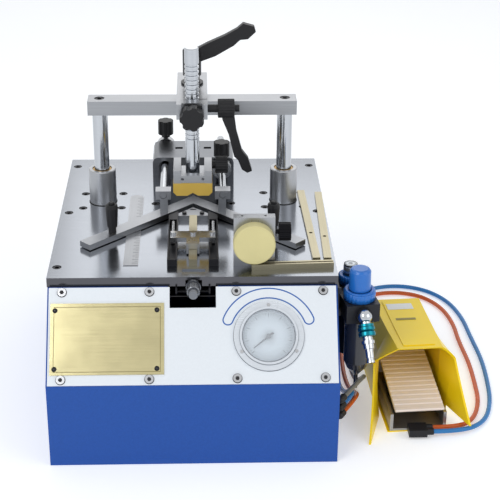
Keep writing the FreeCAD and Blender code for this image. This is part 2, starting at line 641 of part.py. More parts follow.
# Sliding V fence with its blocks, rods, handles and stop collars
reach_y = d.fence_apex - d.fence_reach
node("v_fence", prism("fence", "XY_Plane", [
    (0, "fence_apex"), ("0 - fence_reach", "fence_apex - fence_reach"),
    ("0 - fence_reach - fence_wide", "fence_apex - fence_reach + fence_wide"),
    (0, "fence_apex + fence_wide + fence_wide"),
    ("fence_reach + fence_wide", "fence_apex - fence_reach + fence_wide"),
    ("fence_reach", "fence_apex - fence_reach")], "fence_top - fence_low",
    (d.fence_top + d.fence_low) / 2))
block_parts = []
rod_parts = []
for side, sign, s in (("left", "0 - ", -1), ("right", "0 + ", 1)):
    low_x, high_x = sorted((s * 28.5, s * 48.5))
    block = slab(f"fence_block_{side}", low_x, high_x, 12, 28, 244.5, 256)
    bore = rod(f"block_bore_{side}", "y", f"{sign}rod_x", "rod_z", 11, 29, 2.8)
    sink = rod(f"block_sink_{side}", "y", f"{sign}rod_x", "rod_z", 11, 16, 4.6)
    low_x, high_x = sorted((s * 33, s * 43))
    leg = slab(f"block_leg_{side}", low_x, high_x, 18, 27, "fence_top", 244.5)
    block_parts.append(cut(fuse(block, leg), bore, sink))
    block_parts.append(rod(f"block_screw_{side}", "y", f"{sign}rod_x", "rod_z", 12.5, 16, 4.2))
    block_parts.append(rod(f"block_shank_{side}", "y", f"{sign}rod_x", "rod_z", 16, 38, 2.5))
    bar = rod(f"fence_rod_{side}", "y", f"{sign}rod_x", "rod_z", 28, "rod_end", "rod_r")
    tap = rod(f"rod_tap_{side}", "y", f"{sign}rod_x", "rod_z", 27, 40, 2.8)
    rod_parts.append(cut(bar, tap))
node("fence_blocks", fuse(*block_parts))
node("fence_rods", fuse(*rod_parts))
grip_parts = []
for side, s in (("left", -1), ("right", 1)):
    grip_parts.append(lathe(f"handle_{side}", [
        (0, "fence_top"), (5, "fence_top"), (5, 230), (6.3, 230.5), (7, 240), (8, 256),
        (7.4, 260), (6, 261), (4, 261), (4, 263.2), (3, 264), (0, 264)], s * 102, -39.5))
node("fence_handles", fuse(*grip_parts))
for side, x, y in (("right", d.rod_x, 98), ("left", -d.rod_x, 183)):
    ring = rod(f"collar_{side}", "y", x, "rod_z", y, y + 12, "collar_r")
    hole = rod(f"collar_hole_{side}", "y", x, "rod_z", y - 1, y + 13, "rod_r + 0.05")
    tap = rod(f"collar_tap_{side}", "z", x, y + 6, 252, 265, 3.05)
    node(f"stop_collar_{side}", cut(ring, hole, tap))
    star = fluted(f"collar_star_{side}", 11, 269, 289, 6, 4.5, 2.0)
    stem = lathe(f"collar_stem_{side}", [(0, 256), (3, 256), (3, 264), (6, 265), (6, 270),
                                         (0, 270)])
    node(f"collar_knob_{side}", fuse(star, stem), Plm(Vec(x, y + 6, 0), Rot()))

# Clamp arm, its knobs and levers
arm = slab("arm", "0 - arm_half", "arm_half", "arm_front", "arm_back", "beam_top + 0.05",
           "arm_top")
arm_tools = [
    rod("arm_bore", "z", 0, "shaft_y", 350, 390, "shaft_r + 0.05"),
    slab("arm_slit", 8, 20, 16.2, 17.8, 350, 390),
    slab("arm_recess", -13, 13, -4, 2, 350, 390),
    slab("arm_slot", -5.3, 5.3, 59.7, 100.3, 350, 390),
    slab("arm_groove", -5.3, 5.3, 50, 110, 350, 364.2),
    rod("index_hole", "y", 0, 365, 1, 6.5, 3.05),
    rod("lever_hole", "x", 11, 369.5, 9.9, 21, 4.05)]
node("clamp_block", cut(arm, *arm_tools))
cap = d.shaft_top - 17.5
profile = [(0, 276), (4.9, 276), (4.9, 281), (9, 281), (9, 325)]
step = 325.0
while step + 6 < cap:
    profile += [(9, step + 3), (7.9, step + 3.6), (7.9, step + 5.4), (9, step + 6)]
    step += 6
profile += [(9, d.shaft_top - 1.2), (7.8, d.shaft_top), (0, d.shaft_top)]
node("clamp_shaft", lathe("clamp_shaft", profile, 0, "shaft_y"))
index_star = fluted("index_star", 15.5, 2, 17, 7, 6, 2.2)
index_stem = lathe("index_stem", [(0, -8.3), (3, -8.3), (3, 0), (6.5, 0), (6.5, 3), (0, 3)])
INDEX = Plm(Vec(0, -3, 365), Rot(UP, Vec(0, -1, 0)))
node("index_knob", fuse(index_star, index_stem), INDEX)
side_hub = fluted("side_hub", 12, 12.9, 33.9, 16, 1.4, 0.7)
side_stem = lathe("side_stem", [(0, -9.2), (4, -9.2), (4, 0.3), (5, 0.3), (5, 13.4), (8, 13.4),
                                (8, 33), (4.5, 34.5), (4.5, 40), (0, 40)])
SIDE = Plm(Vec(19.5, 11, 369.5), Rot(UP, Vec(1, 0, 0)))
side_hub.Placement = SIDE
side_stem.Placement = SIDE
side_arm = prism("side_arm", "XZ_Plane", [
    (36, 371), (52, 371), (56, 340), (63, 314), (71, 303), (76, 286), (70, 283.5), (63, 288),
    (58, 301), (53, 306), (46, 336), (38, 356)], 9, 11)
node("side_lever", fuse(side_hub, side_stem, side_arm))
top_hub = lathe("top_hub", [
    (5.1, 382.1), (9.9, 382.1), (9.9, 390), (12, 391.5), (12, 424), (9, 427), (0, 427),
    (0, 425.3), (5.1, 425.3)], 0, "guide_y")
top_arm = prism("top_arm", "XZ_Plane", [
    (6, 408), (30, 417), (54, 431), (62, 438.5), (72, 439.5), (82, 449), (80, 456), (66, 460),
    (58, 453), (42, 444), (20, 434), (6, 426.5)], 9, "guide_y")
top_gap = rod("top_bore", "z", 0, "guide_y", 380, 425.3, "stud_r + 0.1")
node("top_lever", cut(fuse(top_hub, top_arm), top_gap))

# Pressure head on the shaft
head_base = slab("head_base", "0 - head_half", "head_half", "head_front + 0.8", "head_back",
                 "head_low", 281)
head_wall = slab("head_wall", -15, 15, "head_front + 0.8", 2, 281, 285.5)
head_parts = [head_base, head_wall]
for side, s in (("left", -1), ("right", 1)):
    low_x, high_x = sorted((s * 15, s * d.head_half))
    head_parts.append(slab(f"head_post_{side}", low_x, high_x, "head_front", "head_back",
                           "head_low", "head_top"))
head_tools = [rod(f"head_eye{k}", "y", x, 281, -9, -2, 1.9) for k, x in enumerate((-13, 13))]
head_tools.append(rod("head_spigot", "z", 0, "shaft_y", 275, 282, 5.2))
head_tools.append(rod("head_tap", "x", 28, 286.5, 14, 26, 3.05))
node("pad_holder", cut(fuse(*head_parts), *head_tools))
node("pressure_pad", prism("pad", "XZ_Plane", [
    ("0 - pad_half", "head_low"), ("0 - pad_half", 263), (-20.5, "pad_low"), (-7, "pad_low"),
    (0, "pad_low + 4"), (7, "pad_low"), (20.5, "pad_low"), ("pad_half", 263),
    ("pad_half", "head_low")], "head_back - head_front", 15.5))
pad_star = fluted("pad_star", 11, 14, 30.5, 12, 1.6, 0.9)
pad_stem = lathe("pad_stem", [(0, 0.8), (3, 0.8), (3, 9.7), (5, 9.7), (5, 15), (0, 15)])
PAD_KNOB = Plm(Vec(15, 28, 286.5), Rot(UP, Vec(1, 0, 0)))
node("pad_knob", fuse(pad_star, pad_stem), PAD_KNOB)

# Air unit: regulator, lubricator, bowls, bracket, slide valve and hose nipple
reg = slab("reg_body", "0 - reg_half", "reg_half", "0 - reg_half", "reg_half", "reg_low",
           "reg_top")
bonnet = rod("reg_ring", "z", 0, 0, "reg_top", 190, "ring_r")
bonnet_bore = rod("reg_bore", "z", 0, 0, 181, 191, 6.05)
boss = rod("reg_boss", "y", 0, 166, -27, "1 - reg_half", 9)
node("regulator_body", cut(fuse(reg, bonnet, boss), bonnet_bore), AIR)
node("regulator_knob", lathe("reg_knob", [
    (0, 181.5), (6, 181.5), (6, 190.3), ("dial_r", 190.3), ("dial_r + 0.6", 191.5),
    ("dial_r", 215), (11.2, 217.6), (9, 218.4), (0, 218.4)]), AIR)
node("filter_bowl", lathe("filter_bowl", [
    (0, 51), (2.6, 51), (2.6, 70), (4.5, 72.5), (12.5, 82), ("bowl_r", 92), ("bowl_r", 150),
    (14, "reg_low"), (0, "reg_low")]), AIR)
lube = slab("lube_body", -18, 18, "reg_half", 66, 155, 177)
lube_cap = rod("lube_cap", "z", 0, 45, 177, 189, 14)
lube_dome = rod("lube_dome", "z", 0, 45, 189, 203, 8.5)
lube_bowl = rod("lube_bowl", "z", 0, 45, 82, 155, 15)
node("lubricator", fuse(lube, lube_cap, lube_dome, lube_bowl), AIR)
bracket_block = slab("bracket", -34, -18, 24, 62, 158, 176)
bracket_block.setExpression(".Placement.Base.x", None)
bracket_block.setExpression(".Placement.Base.y", None)
bracket_block.setExpression(".Placement.Base.z", None)
bracket_block.Placement = AIR.multiply(Plm(Vec(-34, 24, 158), Rot()))
trim = slab("bracket_trim", 100, "cab_half", -200, 50, 100, 250)
plate_side = slab("bracket_plate", "cab_half", "cab_half + 3", -152, -60, 150, 198)
plate_trim = slab("bracket_plate_trim", -50, 60, -60, 90, 100, 250)
plate_trim.setExpression(".Placement.Base.x", None)
plate_trim.setExpression(".Placement.Base.y", None)
plate_trim.setExpression(".Placement.Base.z", None)
plate_trim.Placement = AIR.multiply(Plm(Vec(-18, -60, 100), Rot()))
bracket_heads = [rod(f"bracket_head{k}", "x", y, z, "cab_half + 3", "cab_half + 6", 4)
                 for k, (y, z) in enumerate(((-144, 160), (-144, 190)))]
node("air_bracket", fuse(cut(fuse(bracket_block, plate_side), trim, plate_trim),
                         *bracket_heads))
AXIS_OUT = Vec(0.10, -0.62, -0.778).normalize()
boss_end = AIR.multVec(Vec(0, -27, 166))
COUPLING = Plm(boss_end, Rot(UP, AXIS_OUT))
elbow = Part.makeSphere(9.2, Vec(0, 0, 0))
half = Part.makeBox(40, 40, 40, Vec(-20, -20, -40))
back = Plm(Vec(), COUPLING.Rotation.inverted()).multiply(Plm(Vec(), AIR.Rotation))
half = Part.makeBox(40, 40, 40, Vec(-20, 0, -20))
half.Placement = back
elbow_trim = wrap(half, "elbow_trim")
elbow = wrap(elbow.cut(half), "elbow")
pipe = lathe("nipple", [
    (2.6, 4), (6, 4), (6, 30), (8, 30), (8, 34), (6.5, 34), (6.5, 40), (5, 40.5), (5, 51),
    (4.3, 51.6), (4.3, 53.6), (5, 54.2), (5, 57), (2.6, 57)])
coupling = cut(fuse(elbow, pipe), elbow_trim)
node("air_coupling", coupling, COUPLING)
node("slide_sleeve", lathe("slide_sleeve", [
    (6.1, 10), (9.5, 10), (9.5, 13), (10.5, 14), (10.5, 17), (9, 18.5), (10.5, 20), (10.5, 24),
    (9, 25), (6.1, 25)]), COUPLING)

# Push-in fittings and the three air tubes
LEAD = Vec(0.5, math.sqrt(0.75), 0)
fit_parts = []
for k, z in enumerate(EXIT_Z):
    fit_parts.append(rod(f"fit_nut{k}", "x", EXIT_Y, z, 174, 177, 5.0))
    fit_parts.append(rod(f"fit_stub{k}", "x", EXIT_Y, z, 166, 174, 3.6))
    ball = doc.addObject("Part::Sphere", f"fit_ball{k}")
    ball.Radius = 4.6
    ball.Placement = Plm(Vec(178.5, EXIT_Y, z), Rot())
    neck = doc.addObject("Part::Cylinder", f"fit_neck{k}")
    neck.Radius = 4.6
    neck.Height = 9
    neck.Placement = Plm(Vec(178.5, EXIT_Y, z), Rot(UP, LEAD))
    fit_parts += [ball, neck]
fit_parts.append(slab("port_block", 268, 291, -184.5, -165.4, 3.5, 13.5))
for k, y in enumerate((-179.5, -170.0)):
    fit_parts.append(rod(f"front_port{k}", "x", y, 9, 291, 299, 4.4))
rear_port = fuse(rod("rear_port", "y", -3.2, 16, 85, 88.8, 4.6),
                 rod("rear_nut", "y", -3.2, 16, 85, 86.5, 5.6))
rear_port.Placement = PEDAL
fit_parts.append(rear_port)
node("tube_fittings", fuse(*fit_parts))
TUBE_START = [Vec(178.5, EXIT_Y, z) + LEAD * 9 for z in EXIT_Z]


def tube_shape(points, radius):
    """Solid tube of straight runs joined by tangent arcs."""
    spots = [Vec(*p) for p in points]
    edges = []
    here = spots[0]
    least = 1e9
    for k in range(1, len(spots) - 1):
        before = (spots[k] - spots[k - 1])
        after = (spots[k + 1] - spots[k])
        turn = before.getAngle(after)
        keep = 0.45 * min(before.Length, after.Length)
        bend = keep / math.tan(turn / 2)
        least = min(least, bend)
        enter = spots[k] - Vec(before).normalize() * keep
        leave = spots[k] + Vec(after).normalize() * keep
        edges.append(Part.LineSegment(here, enter).toShape())
        edges.append(arc_edge(enter, Vec(before).normalize(), leave))
        here = leave
    edges.append(Part.LineSegment(here, spots[-1]).toShape())
    spine = Part.Wire(edges)
    way = (spots[1] - spots[0]).normalize()
    ring = Part.Wire([Part.Circle(spots[0], way, radius).toShape()])
    solid = spine.makePipeShell([ring], True, False)
    wanted = math.pi * radius ** 2 * spine.Length
    return solid, least, spine.Length, solid.Volume / wanted


REAR_END = PEDAL.multVec(Vec(-3.2, 88.8, 16))
REAR_IN = PEDAL.multVec(Vec(-3.2, 120.8, 16))
ROUTES = {
    "grey": [tuple(TUBE_START[0]), (212.5, -143.2, 69), (219, -97, 40), (214, -52, 6),
             (211, 0, 3.2), (214, 45, 3.2), (222, 90, 3.2), (240, 135, 3.2), (262, 168, 3.2),
             (290, 181, 3.2), (318, 172, 3.2), (333, 144, 3.2), (326, 112, 3.2),
             (299, 92, 5), (273, 71, 11), tuple(REAR_IN), tuple(REAR_END)],
    "blue": [tuple(TUBE_START[1]), (198, -166.2, 58.6), (199, -131, 40), (194, -92, 14),
             (191, -50, 3.2), (194, 10, 3.2), (190, 70, 3.2), (194, 130, 3.2), (212, 180, 3.2),
             (250, 218, 3.2), (300, 236, 3.2), (346, 222, 3.2), (376, 184, 3.2),
             (389, 130, 3.2), (391, 72, 3.2), (395, 10, 3.2), (392, -50, 3.2),
             (386, -104, 3.2), (370, -150, 3.2), (336, -179.5, 9), (299, -179.5, 9)],
    "orange": [tuple(TUBE_START[2]), (205.5, -153.2, 47), (207, -112, 26), (203, -68, 6),
               (200.5, -20, 3.2), (204, 40, 3.2), (201, 100, 3.2), (210, 150, 3.2),
               (240, 192, 3.2), (288, 214, 3.2), (334, 204, 3.2), (362, 168, 3.2),
               (373, 116, 3.2), (372, 60, 3.2), (376, 0, 3.2), (374, -56, 3.2),
               (371, -100, 3.2), (358, -141, 3.6), (335, -170, 9), (299, -170, 9)],
}
for colour, route in ROUTES.items():
    solid, least, length, ratio = tube_shape(route, d.tube_r)
    print(f"tube_{colour}: least bend {least:.1f} mm, length {length:.0f} mm, "
          f"volume {ratio:.4f} of section times length")
    node(f"tube_{colour}", wrap(solid, f"tube_{colour}"))

# Foot pedal, drawn in its own frame: X across, Y back, Z up
tray = slab("tray", "0 - tray_half", "tray_half", -84, 78, 2, 26)
tray_hollow = slab("tray_hollow", "4 - tray_half", "tray_half - 4", -85, 74, 5, 27)
axle_hole = rod("axle_hole", "x", 45, 20, -37, 37, 2.6)
node("pedal_base", fuse(cut(tray, tray_hollow), rod("axle", "x", 45, 20, -32, 32, 2.5)), PEDAL)
valve = slab("foot_valve", -20, 20, -14, 26, 5, 30)
plunger = rod("valve_plunger", "z", 0, 6, 30, 34, 5)
node("foot_valve", fuse(valve, plunger), PEDAL)
teeth = []
tread_slope = math.tan(math.radians(7.2))
for k in range(13):
    y0 = -78 + k * 9
    for dy, up in ((0, 0), (0.8, 1.1), (5.2, 1.1), (6, 0)):
        teeth.append((y0 + dy, round(35 + (y0 + dy + 85) * tread_slope + up, 3)))
low_back = 35 + (40 + 85) * tread_slope - 4
tread_profile = [(-85, 31), (-88, 31.5), (-89.5, 33.5), (-88.5, 35.2), (-85, 35.6)] + teeth + [
    (38, round(35 + 123 * tread_slope, 3)), (52, 42), (52, 14), (40, 14),
    (38, round(low_back, 3))]
tread = prism("tread", "YZ_Plane", tread_profile, "tread_half * 2 - 4")
tread_bore = rod("tread_bore", "x", 45, 20, -40, 40, 2.6)
node("pedal_plate", cut(tread, tread_bore), PEDAL)
stations = (
    (85, 32, 100, 38, 78, 40),
    (-15, 30, 107, 42, 79, 43),
    (-45, 29, 110, 53.5, 80, 44),
    (-120, 27, 116, 76, 80, 71))


def hood(rows_in, drop, side):
    """Ruled loft through the guard's sections, drawn smaller for the inside."""
    wires = []
    for y, t, zt, s, zs, b in rows_in:
        half_top = t - side * 0.6
        points = [(-(b - side), -side), (-(s - side), zs - drop * 0.5), (-half_top, zt - drop),
                  (half_top, zt - drop), (s - side, zs - drop * 0.5), (b - side, -side)]
        flat = [Vec(x, y, z) for x, z in points]
        wires.append(Part.makePolygon(flat + [flat[0]]))
    return Part.makeLoft(wires, True, True)


outer_hood = hood(stations, 0, 0)
inner_rows = list(stations)
y, t, zt, s, zs, b = stations[0]
inner_rows[0] = (85 - d.guard_t, t, zt + 0.2, s + 0.1, zs, b + 0.1)
y, t, zt, s, zs, b = stations[-1]
inner_rows[-1] = (-121, t, zt, s, zs, b)
inner_hood = hood(inner_rows, d.guard_t, d.guard_t)
front_cut = Part.Face(Part.makePolygon([
    Vec(-120, -70, 150), Vec(-120, -70, 112.2), Vec(-120, -44, 80), Vec(-120, -110, 0),
    Vec(-120, -110, -5), Vec(-120, -200, -5), Vec(-120, -200, 150), Vec(-120, -70, 150)]))
front_cut = front_cut.extrude(Vec(240, 0, 0))
guard = outer_hood.cut(inner_hood).cut(front_cut)
floor_plate = Part.makeBox(77.6, 168.5, 2, Vec(-38.8, -84, 0))
pass_gap = Part.makeBox(40, 84, 14, Vec(44, -129, -1))
band = [Part.makePolygon([Vec(-20, y, z), Vec(20, y, z), Vec(20, y, z + 2.2),
                          Vec(-20, y, z + 2.2), Vec(-20, y, z)])
        for y, z in ((78, 99.5), (-15, 106), (-45, 109), (-62, 110.2))]
guard = guard.fuse(floor_plate).cut(pass_gap).fuse(Part.makeLoft(band, True, True))
node("pedal_guard", wrap(guard.removeSplitter(), "guard"), PEDAL)

# Spare pads, rails and bar kept on the plate
spare = slab("spare_plate", 49.6, 99.7, -122, -110, "plate_top", 278)
spare_holes = [rod(f"spare_hole{k}", "z", x, -116, 272, 279, 1.6) for k, x in enumerate((60, 88))]
spare_knob = fluted("spare_knob", 11.7, 4.3, 19.3, 14, 1.5, 0.8)
spare_knob.Placement = Plm(Vec(99.7, -116, 257), Rot(UP, Vec(1, 0, 0)))
spare_stem = rod("spare_stem", "x", -116, 257, 99.7, 106, 3)
node("spare_pad_plate", fuse(cut(spare, *spare_holes), spare_knob, spare_stem))
disc = lathe("spare_disc", [(0, 0), (25.5, 0), (25.5, 12.5), (24, 14), (0, 14)])
node("spare_round_pad", disc, Plm(Vec(74.3, -122, 247), Rot(UP, Vec(0, -1, 0))))


def rail(name, start, end, wide, low, high, hole_y=None, groove=False):
    """Straight bar lying between two points of the plate."""
    span = math.hypot(end[0] - start[0], end[1] - start[1])
    angle = math.degrees(math.atan2(end[1] - start[1], end[0] - start[0]))
    bar = slab(name, 0, span, -wide / 2, wide / 2, low, high)
    tools = []
    if hole_y is not None:
        reach = abs((hole_y - start[1]) / (end[1] - start[1])) * span
        tools.append(rod(name + "_hole", "z", reach, 0, low - 1, high + 1, 2.2))
    if groove:
        tools.append(slab(name + "_groove", -1, span + 1, -1.6, 1.0, high - 2.5, high + 1))
    made = cut(bar, *tools)
    made.Placement = Plm(Vec(start[0], start[1], 0), Rot(UP, angle))
    return made


node("spare_rails", fuse(
    rail("rail_a", (146.5, 103), (152, -109), 9.5, 214, 218, hole_y=-36),
    rail("rail_b", (169.9, 97), (165.6, -109.4), 9.5, 214, 218, hole_y=-46.5),
    rail("rail_bar", (71, -130), (171.3, -125), 9, 214, 220.8, groove=True)))

doc.recompute()
faults = []
for obj in doc.Objects:
    if any(word in ("Invalid", "Error") for word in obj.State):
        faults.append(f"{obj.Name} {obj.Label} {obj.State}")
for name, obj in NODES.items():
    if obj.Shape.isNull() or not obj.Shape.isValid() or obj.Shape.Volume <= 0:
        faults.append(f"{name} has no valid shape")
if faults:
    raise RuntimeError("; ".join(faults[:20]))
if len(NODES) > 60:
    print(f"too many nodes: {len(NODES)}")
os.makedirs("parts", exist_ok=True)
for name, obj in NODES.items():
    obj.Shape.exportStep(f"parts/{name}.step")
    box = obj.Shape.BoundBox
    print(f"{name}: {len(obj.Shape.Solids)} solids, x {box.XMin:.1f} {box.XMax:.1f}, "
          f"y {box.YMin:.1f} {box.YMax:.1f}, z {box.ZMin:.1f} {box.ZMax:.1f}")
print(len(NODES), "nodes,", len(SIZES), "sizes")
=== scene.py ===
"""Dressed picture frame underpinner on a pale floor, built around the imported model.

Lengths in the tables are millimetres; meshes are made in metres. X is the machine's right,
Y its back and Z up.
"""

import logging
import math
from dataclasses import dataclass
from enum import Enum

import bmesh
import bpy
from mathutils import Matrix, Vector


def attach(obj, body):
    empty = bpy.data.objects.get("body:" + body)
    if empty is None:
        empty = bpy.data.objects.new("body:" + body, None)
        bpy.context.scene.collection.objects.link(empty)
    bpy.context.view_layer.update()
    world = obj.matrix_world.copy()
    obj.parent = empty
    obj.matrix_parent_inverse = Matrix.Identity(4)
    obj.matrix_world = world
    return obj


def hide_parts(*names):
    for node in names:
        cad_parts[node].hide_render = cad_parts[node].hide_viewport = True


LOG = logging.getLogger("underpinner")
MM = 0.001
PANEL_FACE = 2.5
PLATE_FRONT_M = -0.1517
MOUTH_HALF_M = 0.0285
MOUTH_BACK_M = -0.05
MOUTH_LOW_M = 0.165
PAD_KNOB_FROM_M = 0.0998
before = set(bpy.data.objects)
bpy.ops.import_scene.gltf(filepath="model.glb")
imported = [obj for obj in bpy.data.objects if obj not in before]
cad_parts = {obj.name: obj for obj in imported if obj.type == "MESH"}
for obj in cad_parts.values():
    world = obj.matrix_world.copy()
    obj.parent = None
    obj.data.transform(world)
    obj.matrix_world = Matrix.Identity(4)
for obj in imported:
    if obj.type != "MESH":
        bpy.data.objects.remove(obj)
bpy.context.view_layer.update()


class Grain(Enum):
    """Direction or kind of the fine marks in a surface, as noise scales along X, Y and Z."""

    ALONG_X = (14.0, 900.0, 900.0)
    ALONG_Y = (900.0, 14.0, 900.0)
    ALONG_Z = (900.0, 900.0, 14.0)
    ROUND = (60.0, 60.0, 1500.0)
    PEEL = (420.0, 420.0, 420.0)
    MOULDED = (1600.0, 1600.0, 1600.0)
    CLOUDY = (38.0, 38.0, 38.0)


class Sock:
    """A shader value that can be used in sums."""

    def __init__(self, net: "Net", out: bpy.types.NodeSocket) -> None:
        """Keep the net and the output socket."""
        self.net = net
        self.out = out

    def _sum(self, kind: str, first: object, second: object) -> "Sock":
        """Add one Math node."""
        return self.net.add("ShaderNodeMath", {"operation": kind}, {0: first, 1: second})

    def __add__(self, other: object) -> "Sock":
        """Sum."""
        return self._sum("ADD", self, other)

    __radd__ = __add__

    def __sub__(self, other: object) -> "Sock":
        """Difference."""
        return self._sum("SUBTRACT", self, other)

    def __rsub__(self, other: object) -> "Sock":
        """Difference the other way round."""
        return self._sum("SUBTRACT", other, self)

    def __mul__(self, other: object) -> "Sock":
        """Product."""
        return self._sum("MULTIPLY", self, other)

    __rmul__ = __mul__

    def above(self, edge: float) -> "Sock":
        """One where the value is above an edge, else nought."""
        return self._sum("GREATER_THAN", self, edge)


class Net:
    """Node tree of one material."""

    def __init__(self, name: str) -> None:
        """Start an empty material.

        Args:
            name: The material's name.
        """
        self.material = bpy.data.materials.new(name)
        self.material.use_nodes = True
        self.tree = self.material.node_tree
        self.shader = self.tree.nodes["Principled BSDF"]

    def add(self, kind: str, settings: dict, values: dict, out: int | str = 0) -> Sock:
        """Add a node.

        Args:
            kind: The node's type.
            settings: Its own settings, such as a Math node's operation.
            values: Numbers or links for its input sockets.
            out: Which output to hand back.

        Returns:
            The chosen output.
        """
        made = self.tree.nodes.new(kind)
        for key, value in settings.items():
            setattr(made, key, value)
        for key, value in values.items():
            self.plug(made.inputs[key], value)
        return Sock(self, made.outputs[out])

    def plug(self, socket: bpy.types.NodeSocket, value: object) -> None:
        """Link a value or set a number on one socket."""
        if isinstance(value, Sock):
            self.tree.links.new(value.out, socket)
        elif isinstance(value, tuple) and socket.type == "RGBA" and len(value) == 3:
            socket.default_value = (*value, 1.0)
        else:
            socket.default_value = value

    def noise(self, scales: tuple[float, float, float], detail: float = 3.0) -> Sock:
        """Noise on object coordinates stretched by three scales."""
        spot = self.add("ShaderNodeTexCoord", {}, {}, "Object")
        spread = self.add("ShaderNodeMapping", {}, {"Vector": spot, "Scale": scales})
        return self.add("ShaderNodeTexNoise", {},
                        {"Vector": spread, "Scale": 1.0, "Detail": detail}, "Fac")

    def mix(self, amount: object, first: object, second: object) -> Sock:
        """Blend of two colours."""
        return self.add("ShaderNodeMix", {"data_type": "RGBA"},
                        {0: amount, 6: first, 7: second}, 2)

    def absolute(self, value: Sock) -> Sock:
        """Value without its sign."""
        return self.add("ShaderNodeMath", {"operation": "ABSOLUTE"}, {0: value})

    def height(self) -> Sock:
        """Object Z in metres."""
        spot = self.add("ShaderNodeTexCoord", {}, {}, "Object")
        return self.add("ShaderNodeSeparateXYZ", {}, {0: spot}, "Z")


@dataclass(frozen=True)
class Finish:
    """One surface finish with its fine marks."""

    name: str
    color: tuple[float, float, float]
    rough: float
    metal: float = 0.0
    grain: Grain = Grain.PEEL
    tone: float = 0.06
    rough_swing: float = 0.06
    bump: float = 0.05
    coat: float = 0.0
    alpha: float = 1.0
    patch: float = 0.0

    def make(self) -> Net:
        """Build the material.

        Returns:
            The net, whose material is ready.
        """
        net = Net(self.name)
        fine = net.noise(self.grain.value)
        slow = net.noise(Grain.CLOUDY.value, 2.0)
        dark = tuple(c * (1.0 - 2.2 * self.tone) for c in self.color)
        pale = tuple(min(1.0, c * (1.0 + self.tone)) for c in self.color)
        shade = net.mix(fine * (1.0 - self.patch) + slow * self.patch, dark, pale)
        net.plug(net.shader.inputs["Base Color"], shade)
        net.plug(net.shader.inputs["Roughness"],
                 fine * self.rough_swing + slow * self.rough_swing + (self.rough
                                                                     - self.rough_swing))
        net.shader.inputs["Metallic"].default_value = self.metal
        net.shader.inputs["Coat Weight"].default_value = self.coat
        if not self.metal:
            net.shader.inputs["Specular IOR Level"].default_value = 0.3
        net.shader.inputs["Coat Roughness"].default_value = 0.08
        net.shader.inputs["Alpha"].default_value = self.alpha
        if self.bump:
            bump = net.add("ShaderNodeBump", {}, {"Strength": self.bump, "Distance": 0.0004,
                                                  "Height": fine}, "Normal")
            net.plug(net.shader.inputs["Normal"], bump)
        return net


